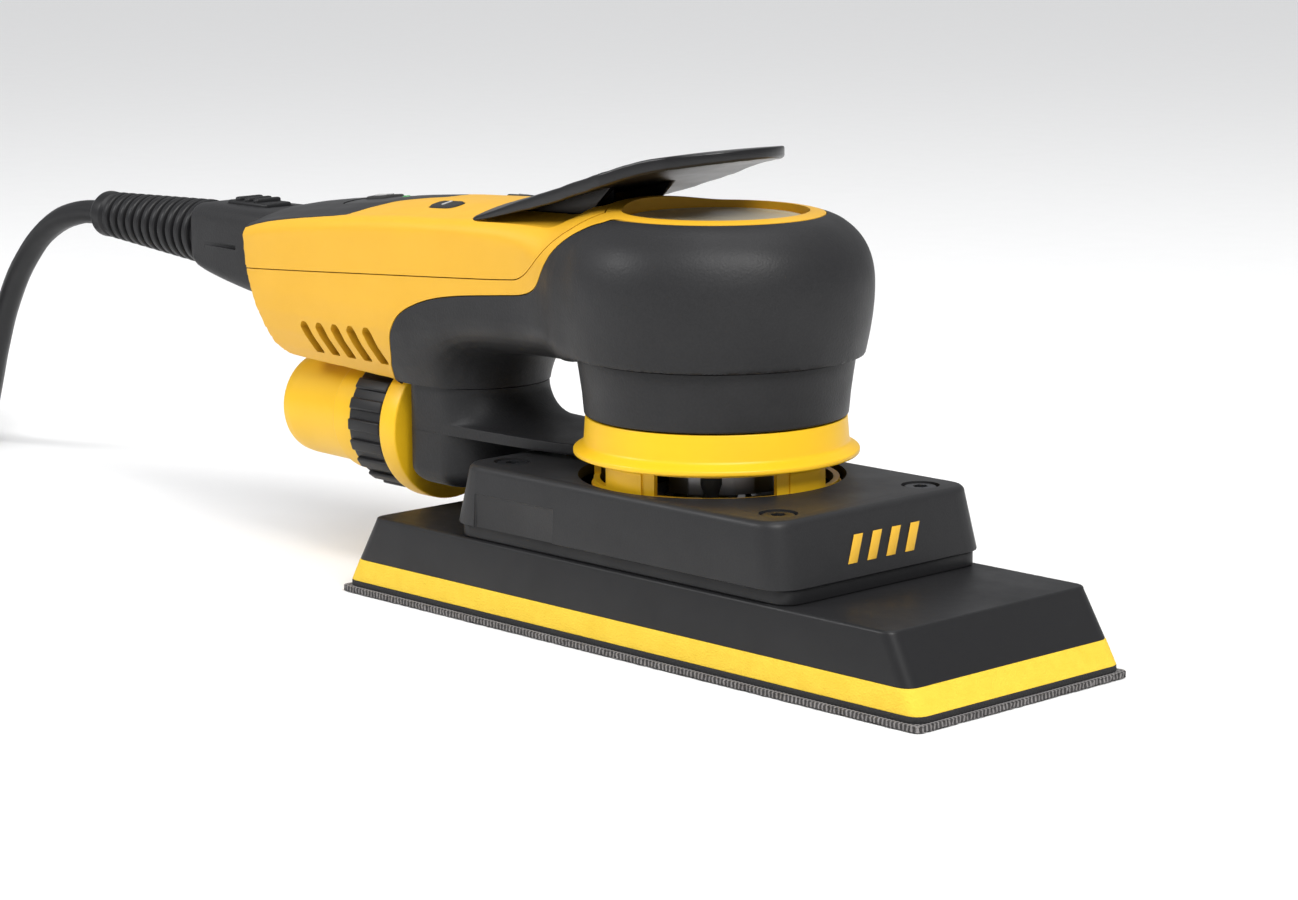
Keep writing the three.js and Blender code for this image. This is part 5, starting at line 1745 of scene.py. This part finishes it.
# ---------- pad ----------
@dataclass
class SandingPad:
    """Everything that orbits: housing, spacer, plate, foam, hook layer and abrasive.

    Sizes are in millimetres.
    """

    length: float = 198.0
    width: float = 70.0
    slope_x: float = 0.518
    slope_y: float = 0.062
    corner: float = 4.0
    lip: float = 1.3
    heights: tuple[float, ...] = (0.0, 1.5, 3.0, 8.7, 20.4, 24.0, 39.3)
    housing: tuple[float, ...] = (116.2, 70.0, 8.0, 0.229, 0.052)
    housing_wall: float = 2.4
    housing_roof: float = 2.6
    bolt: Point2 = (46.0, 24.0)
    sink: float = 4.6
    sink_depth: float = 1.8
    collar_hole: float = 32.5
    hole_near: float = 40.0
    hole_far: float = 72.0
    hole_y: float = 17.0
    hole_radius: float = 5.0
    leg_at: float = 16.8

    def _taper(
        self, length: float, width: float, corner: float, slopes: Point2, z0: float, z1: float, top: float,
        bottom: float,
    ) -> bmesh.types.BMesh:
        """A rounded block whose sides lean in, with rounded upper and lower edges.

        Args:
            length: Size along X at the bottom.
            width: Size along Y at the bottom.
            corner: The corners' radius in plan.
            slopes: How far the ends and the sides lean in for each unit of height.
            z0: Lower height.
            z1: Upper height.
            top: Rounding of the upper edges.
            bottom: Rounding of the lower edges.

        Returns:
            The closed shape.
        """
        bm = prism(round_plan(length, width, corner, PAD_X, 0), z0, z1)
        rise = z1 - z0
        for vert in bm.verts:
            if vert.co.z > z1 - 1e-3:
                vert.co.x = PAD_X + (vert.co.x - PAD_X) * (1 - 2 * slopes[0] * rise / length)
                vert.co.y *= 1 - 2 * slopes[1] * rise / width
        for height, size in ((z1, top), (z0, bottom)):
            rim = [
                e for e in bm.edges
                if all(abs(v.co.z - height) < 1e-3 for v in e.verts) and e.calc_face_angle(0.0) > 0.6
            ]
            if size > 0:
                soften(bm, rim, size, 4)
        return bm

    def _bolts(self) -> list[Point2]:
        """Plan places of the four housing screws."""
        return [(PAD_X + a * self.bolt[0], b * self.bolt[1]) for a, b in QUARTERS]

    def _drill(
        self, x: float, y: float, radius: float, z0: float, z1: float, steps: int = 40,
    ) -> bpy.types.Object:
        """A round tool at a place in plan."""
        return tool(moved(cylinder(radius, z0, z1, steps), (x, y, 0)))

    def _holes(self, distance: float, z0: float, z1: float) -> list[bpy.types.Object]:
        """The four dust holes at a distance from the middle.

        Args:
            distance: How far along X they are.
            z0: Lower height.
            z1: Upper height.

        Returns:
            One tool for each hole.
        """
        return [
            self._drill(PAD_X + a * distance, b * self.hole_y, self.hole_radius, z0, z1) for a, b in QUARTERS
        ]

    def _housing(self) -> None:
        """The black cover with its round opening, screw seats and long side marks."""
        length, width, corner, sx, sy = self.housing
        z0, z1 = self.heights[5], self.heights[6]
        made = tool(self._taper(length, width, corner, (sx, sy), z0, z1, 1.8, 0.3))
        room = tool(self._taper(
            length - 2 * self.housing_wall, width - 2 * self.housing_wall, corner - 2, (sx, sy),
            z0 - 1, z1 - self.housing_roof, 1.0, 0.0,
        ))
        combine(room, [self._drill(x, y, 5, z0 - 2, z1) for x, y in self._bolts()], Join.CUT)
        tools = [room, self._drill(PAD_X, 0, self.collar_hole, 20, 50, 144)]
        for x, y in self._bolts():
            tools.append(self._drill(x, y, self.sink, z1 - self.sink_depth, z1 + 1, 48))
            tools.append(self._drill(x, y, 2.3, 20, 45, 32))
        face = width / 2 - sy * 4.2
        for side in (-1, 1):
            low, high = sorted((side * (face - 0.5), side * (face + 3)))
            tools.append(tool(block((-49.7, low, z0 - 1), (-20.7, high, z0 + 8.4), 0.4)))
        combine(made, tools, Join.CUT)
        hand_over(made, "pad_housing_skin", Body.PAD, PAD_BLACK, ["pad_housing"])
        self._emblem()

    def _emblem(self) -> None:
        """Four slanted bars, raised a little, on the housing's front face."""
        length, _, _, sx, _ = self.housing
        z0 = self.heights[5]
        bars = []
        for i in range(4):
            y = -9.6 + i * 6.4
            bar = block((-0.06, y - 1.5, 27.4), (0.06, y + 1.5, 33.6), 0.05, 2)
            for vert in bar.verts:
                vert.co.x += PAD_X + length / 2 - sx * (vert.co.z - z0)
                vert.co.y += (vert.co.z - 30.5) * 0.55
            bars.append(bar)
        deliver(merged(bars), "housing_bars", Body.PAD, MARK)

    def _layers(self) -> None:
        """Spacer, plate, foam, hook layer and abrasive."""
        sheet, hook, foam, plate, spacer, housing, _ = self.heights
        made = tool(self._taper(114.8, 65.4, 5, (0, 0), spacer, housing, 0.4, 0.4))
        room = tool(prism(round_plan(104.8, 56.4, 5, PAD_X, 0), spacer - 1, housing + 1))
        combine(room, [self._drill(x, y, 5, spacer - 2, housing + 2) for x, y in self._bolts()], Join.CUT)
        combine(made, [room, *[self._drill(x, y, 2.3, 18, 26, 24) for x, y in self._bolts()]], Join.CUT)
        hand_over(made, "pad_spacer_skin", Body.PAD, PLATE_BLACK, ["pad_spacer"])
        rise = plate - foam
        length = self.length - 2 * self.slope_x * rise - 0.2
        width = self.width - 2 * self.slope_y * rise - 0.2
        body = tool(
            self._taper(length, width, self.corner, (self.slope_x, self.slope_y), plate, spacer, 0.9, 0.3)
        )
        combine(body, [self._drill(PAD_X, 0, 16, spacer - 4, 35, 64)], Join.ADD)
        channels = []
        for a, b in QUARTERS:
            low, high = sorted((PAD_X + a * self.hole_near, PAD_X + a * self.hole_far))
            y = b * self.hole_y
            channels.append(tool(block((low, y - 3, plate + 3), (high, y + 3, spacer - 3.6), 0.5)))
        combine(body, [
            *channels, *self._holes(self.hole_near, 0.5, spacer + 1),
            *self._holes(self.hole_far, 0.5, spacer - 3.6),
            self._drill(PAD_X, 0, 12.3, 26.3, 37, 64), self._drill(PAD_X, 0, 9.6, 23.6, 27, 48),
            *[self._drill(x, y, 1.6, spacer - 9, spacer + 1, 24) for x, y in self._bolts()],
        ], Join.CUT)
        hand_over(body, "pad_plate_skin", Body.PAD, PLATE_BLACK, ["pad_plate"])
        soft = tool(
            self._taper(
                self.length, self.width, self.corner, (self.slope_x, self.slope_y), foam, plate, 0.15, 0.25,
            )
        )
        combine(soft, [*self._holes(self.hole_near, 0, 12), *self._holes(self.hole_far, 0, 12)], Join.CUT)
        foam_piece = hand_over(soft, "pad_foam_skin", Body.PAD, FOAM, ["pad_foam"])
        pile = tool(self._taper(self.length, self.width, self.corner, (0, 0), hook, foam, 0.2, 0.2))
        combine(pile, [*self._holes(self.hole_near, 0, 12), *self._holes(self.hole_far, 0, 12)], Join.CUT)
        hand_over(pile, "hook_layer_skin", Body.PAD, HOOKS, ["hook_layer"])
        net = slab(
            round_plan(self.length + 2 * self.lip, self.width + 2 * self.lip, 3, PAD_X, 0), sheet, hook,
            0.25, 0.25, 1.3,
        )
        rng = random.Random(11)
        for vert in net.verts:
            reach = max(abs(vert.co.x - PAD_X) - self.length / 2, abs(vert.co.y) - self.width / 2)
            if reach > 0.9:
                pull = rng.uniform(0.0, 0.45)
                vert.co.x -= math.copysign(pull, vert.co.x - PAD_X) * (
                    abs(vert.co.x - PAD_X) > self.length / 2
                )
                vert.co.y -= math.copysign(pull, vert.co.y) * (abs(vert.co.y) > self.width / 2)
        deliver(net, "abrasive_skin", Body.PAD, NET, ["abrasive_sheet"], crease=50)

    def _screws(self) -> None:
        """The four socket screws."""
        roof = self.heights[6]
        for i, (x, y) in enumerate(self._bolts(), 1):
            screw = tool(bevelled_disc([
                (0, 12.8, 0), (1.5, 12.8, 0.2), (1.5, roof - 1.9, 0.1), (3.9, roof - 1.8, 0.1),
                (3.9, roof - 0.3, 0.4),
                (0, roof - 0.3, 0),
            ], 40))
            combine(screw, [tool(cylinder(1.9, roof - 1.2, roof + 1, 6))], Join.CUT)
            screw.data.transform(Matrix.Translation((x, y, 0)))
            hand_over(screw, f"housing_screw_{i}_skin", Body.PAD, DARK_STEEL, [f"housing_screw_{i}"])

    def _legs(self) -> None:
        """The four rubber legs that let the pad swing, each with a waist."""
        for i, (a, b) in enumerate(((1, 1), (-1, 1), (-1, -1), (1, -1)), 1):
            leg = bevelled_disc([
                (0, 20.7, 0), (2.55, 20.7, 0.5), (2.55, 24.5, 1.0), (1.9, 26.5, 1.5), (1.9, 39, 1.5),
                (2.55, 41, 1.0),
                (2.55, 45, 0.5), (0, 45, 0),
            ], 40)
            place = (PAD_X + a * self.leg_at, b * self.leg_at, 0)
            deliver(moved(leg, place), f"swing_leg_{i}_skin", Body.PAD, LEG, [f"swing_leg_{i}"])

    def build(self) -> None:
        """Makes the whole pad."""
        self._housing()
        self._layers()
        self._screws()
        self._legs()


# ---------- connector, latch, boot and cord ----------
@dataclass
class CableEnd:
    """The plug-in cable connector with its latch and ribbed boot. Sizes are in millimetres."""

    rings: tuple[tuple[float, ...], ...] = (
        (-158, 12.4, 66.4, 91), (-170, 12.2, 67.6, 91), (-185, 11, 69.6, 91), (-196, 9.8, 71.4, 90.8),
        (-200, 9.2, 72.6, 90.2),
        (-201.2, 8.2, 74, 89),
    )
    rear_edge: tuple[Point2, ...] = BodyShell().rear_edge
    latch_x: Point2 = (-189.0, -171.5)
    latch_half: float = 4.6
    latch_z: Point2 = (88.6, 92.0)
    boot_front: float = -201.5
    boot_rear: float = -256.0
    boot_ribs: int = 11
    boot_big: float = 9.2
    boot_small: float = 6.6
    boot_z: Point2 = (81.3, 82.8)

    def _section(self, ring: Sequence[float]) -> list[Point3]:
        """One cross section of the connector.

        Args:
            ring: Its X, half width, underside and top.

        Returns:
            The points of the section.
        """
        x, half, z0, z1 = ring
        plan = round_plan(2 * half, z1 - z0, 5.0, 0, (z0 + z1) / 2)
        return [(x, y, z) for y, z in plan]

    def _connector(self) -> None:
        """The connector's body, fitted to the end of the grip."""
        made = bare_object("connector", skin_rings([self._section(r) for r in smooth_line(self.rings, 2.5)]))
        edge = [(x - 0.4, z) for x, z in smooth_line(self.rear_edge, 2.0)]
        end = tool(across([*edge, (-93, 50), (0, 50), (0, 110), (-160.4, 110)], -60, 60))
        combine(made, [end], Join.CUT)
        combine(made, [tool(block((-166, -10.9, 69.4), (-150.4, 10.9, 87.6), 1.2))], Join.ADD)
        low, high = self.latch_x
        combine(made, [
            tool(
                block(
                    (low - 0.3, -self.latch_half - 0.3, self.latch_z[0] - 1.4),
                    (high + 1, self.latch_half + 0.3, 95), 0.4,
                )
            ),
            tool(block((-198, -20, 79.6), (-176, -10.2, 80.8), 0.2)),
            tool(block((-198, 10.2, 79.6), (-176, 20, 80.8), 0.2)),
        ], Join.CUT)
        hand_over(made, "cable_connector_skin", Body.MAIN, GRIP, ["cable_connector"])

    def _latch(self) -> None:
        """The release latch with its three ridges."""
        low, high = self.latch_x
        made = tool(
            block((low, -self.latch_half, self.latch_z[0]), (high, self.latch_half, self.latch_z[1]), 0.7)
        )
        ridges = [
            tool(block(
                (low + 3.2 + 4 * i, -self.latch_half + 0.3, 91.3),
                (low + 5.2 + 4 * i, self.latch_half - 0.3, 93.0), 0.6,
            ))
            for i in range(3)
        ]
        combine(made, ridges, Join.ADD)
        hand_over(made, "cable_latch_skin", Body.LATCH, RING_BLACK, ["cable_latch"])

    def _boot(self) -> None:
        """The tapering boot with its round ribs."""
        length = self.boot_front - self.boot_rear
        pitch = (length - 8) / self.boot_ribs
        profile: list[tuple[float, float, float]] = [(0, 0.3, 0), (self.boot_big - 1.6, 0.3, 0.3)]
        for i in range(self.boot_ribs):
            z = 1.2 + i * pitch
            radius = self.boot_big + (self.boot_small - self.boot_big) * i / self.boot_ribs
            profile += [
                (radius - 1.6, z, 0.3), (radius, z + 0.35, 0.7), (radius, z + pitch - 1.9, 0.7),
                (radius - 1.7, z + pitch - 1.2, 0.3),
            ]
        profile += [
            (self.boot_small, length - 6.4, 0.8), (self.boot_small + 0.1, length - 3, 0.8),
            (self.boot_small - 1.4, length - 0.4, 0.8), (0, length - 0.4, 0),
        ]
        boot = turned(lathe(rounded(profile, steps=3), 56), -90, "Y")
        rise = math.degrees(math.atan2(self.boot_z[1] - self.boot_z[0], length))
        turned(boot, rise, "Y")
        deliver(
            moved(boot, (self.boot_front, 0, self.boot_z[0])), "cable_boot_skin", Body.MAIN, CABLE,
            ["cable_boot"],
        )

    def build(self) -> None:
        """Makes the connector, the latch and the boot."""
        self._connector()
        self._latch()
        self._boot()


@dataclass
class MainsCord:
    """The free cord, its tie and its plug. Sizes are in millimetres."""

    diameter: float = 7.0
    exit: Point3 = (-256.4, 0.0, 82.8)
    route: tuple[Point3, ...] = (
        (-256.4, 0, 82.8), (-268, 0, 81.9), (-284, 0.3, 76.6), (-300, 1.5, 65.5), (-314, 3.6, 51),
        (-326, 6.8, 36),
        (-337, 10.8, 22.5), (-348, 15.4, 12), (-359, 20.2, 6), (-370, 24.6, 4), (-381, 28, 3.6),
        (-390, 29.9, 3.5),
        (-402, 30.5, 3.5),
    )
    centre: Point2 = (-418.0, -22.0)
    turns: tuple[Point2, ...] = (
        (52.5, 3.5), (45.5, 3.5), (38.5, 3.5), (31.5, 3.5), (31.5, 10.5), (38.5, 10.5), (45.5, 10.5),
        (52.5, 10.5),
        (52.5, 17.5), (45.5, 17.5), (38.5, 17.5), (31.5, 17.5), (31.5, 24.5), (38.5, 24.5), (45.5, 24.5),
    )
    shifts: tuple[float, ...] = (300, 300, 300, 262, 224, 224, 224, 186, 148, 148, 148, 110, 72, 72)
    shift_span: float = 38.0
    rise: tuple[Point3, ...] = (
        (0, 45.8, 26.0), (25, 46.2, 28.6), (50, 46.6, 31.6), (75, 47.4, 34.4), (100, 48.6, 37.0),
    )
    bend: Point3 = (-430.4, -24.1, 36.0)
    plug: Point3 = (-430.0, -60.0, 40.8)
    plug_radius: float = 12.5
    plug_tail: float = 15.6
    plug_body: float = 30.0

    def _coil(self) -> list[Point3]:
        """Points round the coil, from above it turns to the left.

        Returns:
            The points, from the outermost turn to the plug.
        """
        points: list[Point3] = []
        for i, (radius, height) in enumerate(self.turns[:-1]):
            stop = 330 if i == len(self.turns) - 2 else 360
            for degrees in range(0, stop, 20):
                t = min(1.0, max(0.0, (degrees - self.shifts[i]) / self.shift_span))
                t = t * t * (3 - 2 * t)
                r = radius + (self.turns[i + 1][0] - radius) * t
                z = height + (self.turns[i + 1][1] - height) * t
                points.append(self._round(degrees, r, z))
        return points + [self._round(degrees, r, z) for degrees, r, z in self.rise]

    def _round(self, degrees: float, radius: float, height: float) -> Point3:
        """A point on the coil, counted from its far side."""
        turn = math.radians(90 + degrees)
        return (self.centre[0] + radius * math.cos(turn), self.centre[1] + radius * math.sin(turn), height)

    def points(self) -> list[Point3]:
        """The whole route, from the boot to the plug.

        Returns:
            The points, in millimetres.
        """
        x, y, z = self.plug
        cx, cy, radius = self.bend
        last = []
        for degrees, height in ((208, 38.6), (228, 39.8), (248, 40.5), (264, 40.8)):
            turn = math.radians(degrees)
            last.append((cx + radius * math.cos(turn), cy + radius * math.sin(turn), height))
        return [*self.route, *self._coil(), *last, (x + 3.0, y, z)]

    def _curve(self) -> bpy.types.Object:
        """The cord as one smooth curve.

        Returns:
            The curve object.
        """
        curve = bpy.data.curves.new("mains_cord_skin", "CURVE")
        curve.dimensions = "3D"
        curve.bevel_depth = self.diameter / 2 * MM
        curve.bevel_resolution = 3
        curve.resolution_u = 5
        curve.use_fill_caps = True
        spots = self.points()
        spline = curve.splines.new("BEZIER")
        spline.bezier_points.add(len(spots) - 1)
        for knot, spot in zip(spline.bezier_points, spots):
            knot.co = [value * MM for value in spot]
            knot.handle_left_type = knot.handle_right_type = "AUTO"
        made = bpy.data.objects.new("mains_cord_skin", curve)
        bpy.context.scene.collection.objects.link(made)
        curve.materials.append(CABLE.build())
        return made

    def length(self) -> float:
        """Length of the cord in metres."""
        line = smooth_line(self.points(), 1.0)
        return sum(math.dist(a, b) for a, b in zip(line, line[1:])) * MM

    def _tie(self) -> bpy.types.Object:
        """The strap that holds the coil together.

        Returns:
            The finished piece.
        """
        inner = self.centre[0] + 28.0
        y = self.centre[1]
        made = tool(block((inner - 2.2, y - 4, 0), (inner + 29.6, y + 4, 29.6), 0.9, 4))
        combine(made, [tool(block((inner - 0.9, y - 5, -1), (inner + 28.3, y + 5, 28.3), 1.2, 4))], Join.CUT)
        return hand_over(made, "cord_tie_skin", Body.MAIN, RING_BLACK, ["cord_tie"])

    def _placed(self, bm: bmesh.types.BMesh) -> bmesh.types.BMesh:
        """Turns a shape made about Z to the plug's direction and sets it in place."""
        return moved(turned(bm, 90, "Y"), self.plug)

    def _plug(self) -> tuple[bpy.types.Object, bpy.types.Object]:
        """The plug with a waist for the fingers, and its pins.

        Returns:
            The plug and its pins.
        """
        tail, end, radius = self.plug_tail, self.plug_tail + self.plug_body, self.plug_radius
        body = bevelled_disc([
            (0, 0, 0), (4.4, 0, 0.8), (8, tail - 0.6, 3), (radius - 1.6, tail, 1.5),
            (radius - 0.6, tail + 8, 3),
            (radius - 1.5, tail + 16, 4), (radius, end - 6, 2), (radius, end, 1.2), (0, end, 0),
        ], 72)
        made = deliver(self._placed(body), "mains_plug_skin", Body.MAIN, CABLE, ["mains_plug"])
        pins = []
        for y in (-9.5, 9.5):
            pins.append(moved(bevelled_disc([
                (0, end + 0.4, 0), (2.3, end + 0.4, 0.1), (2.3, end + 19.2, 1.2), (0, end + 19.2, 0),
            ], 32), (0, y, 0)))
        pins.append(block((-3, -11.6, end + 0.3), (3, 11.6, end + 1.3), 0.4))
        return made, deliver(self._placed(merged(pins)), "plug_pins_skin", Body.MAIN, PLATED, ["plug_pins"])

    def build(self) -> None:
        cord = self._curve()
        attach(cord, Body.MAIN.value)
        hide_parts("mains_cord", "cord_coil")
        tie = self._tie()
        plug, pins = self._plug()
        length = self.length()
        LOG.info("cord is %.3f m long", length)


# ---------- parts inside ----------
@dataclass
class Inside:
    """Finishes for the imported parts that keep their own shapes."""

    finishes: dict[str, Finish] = field(default_factory=lambda: {
        "motor_shaft": STEEL, "rotor_core": DARK_STEEL, "fan": PLATE_BLACK, "counterweight": STEEL,
        "upper_bearing_inner": STEEL, "lower_bearing_inner": STEEL, "upper_bearing_outer": STEEL,
        "lower_bearing_outer": STEEL, "eccentric_bearing_inner": STEEL, "eccentric_bearing_outer": STEEL,
        "motor_bracket": DARK_STEEL, "motor_stator": DARK_STEEL, "motor_windings": COPPER, "lever_pin": STEEL,
        "lever_spring": STEEL, "lever_switch": PLATE_BLACK, "inlet_socket": PLATE_BLACK,
        "circuit_board": BOARD,
    })

    def build(self) -> None:
        """Gives each part its material."""
        for name, finish in self.finishes.items():
            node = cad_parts[name]
            node.data.materials.clear()
            node.data.materials.append(finish.build())


# ---------- studio ----------
@dataclass
class Studio:
    """A pale floor, soft lights and the camera. Sizes are in millimetres."""

    target: Point3 = (-23.75, 0.0, 41.98)
    azimuth: float = 46.70
    elevation: float = 10.40
    roll: float = -0.37
    distance: float = 840.3
    lens: float = 94.56
    sensor: float = 36.0

    def _light(self, name: str, place: Point3, size: float, power: float, warmth: Point3 = (1, 1, 1)) -> None:
        """An area light that faces the object.

        Args:
            name: Its name.
            place: Where it stands, in metres.
            size: Its diameter in metres.
            power: Its power in watts.
            warmth: Its colour.
        """
        lamp = bpy.data.lights.new(name, "AREA")
        lamp.shape = "DISK"
        lamp.size = size
        lamp.energy = power
        lamp.color = warmth
        made = bpy.data.objects.new(name, lamp)
        bpy.context.scene.collection.objects.link(made)
        made.location = place
        made.rotation_euler = (Vector(self.target) * MM - Vector(place)).to_track_quat("-Z", "Y").to_euler()

    def _sun(self, place: Point3, strength: float, angle: float) -> None:
        """An even, soft light over the whole floor, from a direction.

        Args:
            place: A point in the direction that it shines from.
            strength: Its strength.
            angle: Its apparent size in degrees.
        """
        lamp = bpy.data.lights.new("sky", "SUN")
        lamp.energy = strength
        lamp.angle = math.radians(angle)
        made = bpy.data.objects.new("sky", lamp)
        bpy.context.scene.collection.objects.link(made)
        made.location = place
        made.rotation_euler = (-Vector(place)).to_track_quat("-Z", "Y").to_euler()

    def _camera(self) -> None:
        """The main view."""
        lens = bpy.data.cameras.new("main_camera")
        lens.lens = self.lens
        lens.sensor_width = self.sensor
        lens.sensor_fit = "HORIZONTAL"
        lens.clip_start, lens.clip_end = 0.01, 50
        made = bpy.data.objects.new("main_camera", lens)
        bpy.context.scene.collection.objects.link(made)
        az, el, roll = (math.radians(v) for v in (self.azimuth, self.elevation, self.roll))
        back = Vector((math.sin(az) * math.cos(el), -math.cos(az) * math.cos(el), math.sin(el)))
        right = Vector((math.cos(az), math.sin(az), 0))
        up = back.cross(right)
        side = right * math.cos(roll) + up * math.sin(roll)
        top = up * math.cos(roll) - right * math.sin(roll)
        turn = Matrix((side, top, back)).transposed().to_4x4()
        made.matrix_world = Matrix.Translation((Vector(self.target) + back * self.distance) * MM) @ turn
        bpy.context.scene.camera = made

    def _floor(self) -> None:
        """A wide, flat, pale floor."""
        bm = bmesh.new()
        bmesh.ops.create_grid(bm, x_segments=24, y_segments=24, size=9.0)
        floor = bare_object("floor", moved(bm, (0, 0, -0.0002)))
        white = Finish("floor_white", (0.86, 0.86, 0.86), (0.83, 0.83, 0.83), 0.6, "floor", grain_depth=0.0)
        floor.data.materials.append(white.build())

    def _world(self) -> None:
        """An even, soft surround."""
        world = bpy.data.worlds.new("studio")
        bpy.context.scene.world = world
        world.use_nodes = True
        shade = world.node_tree.nodes["Background"]
        shade.inputs["Color"].default_value = (0.93, 0.94, 0.96, 1)
        shade.inputs["Strength"].default_value = 0.42

    def build(self) -> None:
        """Sets up the view."""
        bpy.context.scene.view_settings.view_transform = "Standard"
        self._floor()
        self._world()
        self._sun((0.55, -0.5, 1.0), 1.75, 40.0)
        self._light("key", (0.85, -0.25, 0.95), 0.45, 9.0, (1, 0.985, 0.96))
        self._light("left", (-0.75, -0.9, 0.75), 0.4, 7.0)
        self._light("top", (-0.1, 0.3, 1.3), 0.9, 4.0)
        self._camera()


def main() -> None:
    """Builds the whole model."""
    logging.basicConfig(level=logging.INFO, format="%(name)s: %(message)s")
    scene = bpy.context.scene
    scene.unit_settings.system = "METRIC"
    Studio().build()
    MainsCord().build()
    Inside().build()
    BodyShell().build()
    HeadRings().build()
    DustPath().build()
    PowerLever().build()
    SandingPad().build()
    CableEnd().build()


if __name__ == "__main__":
    main()
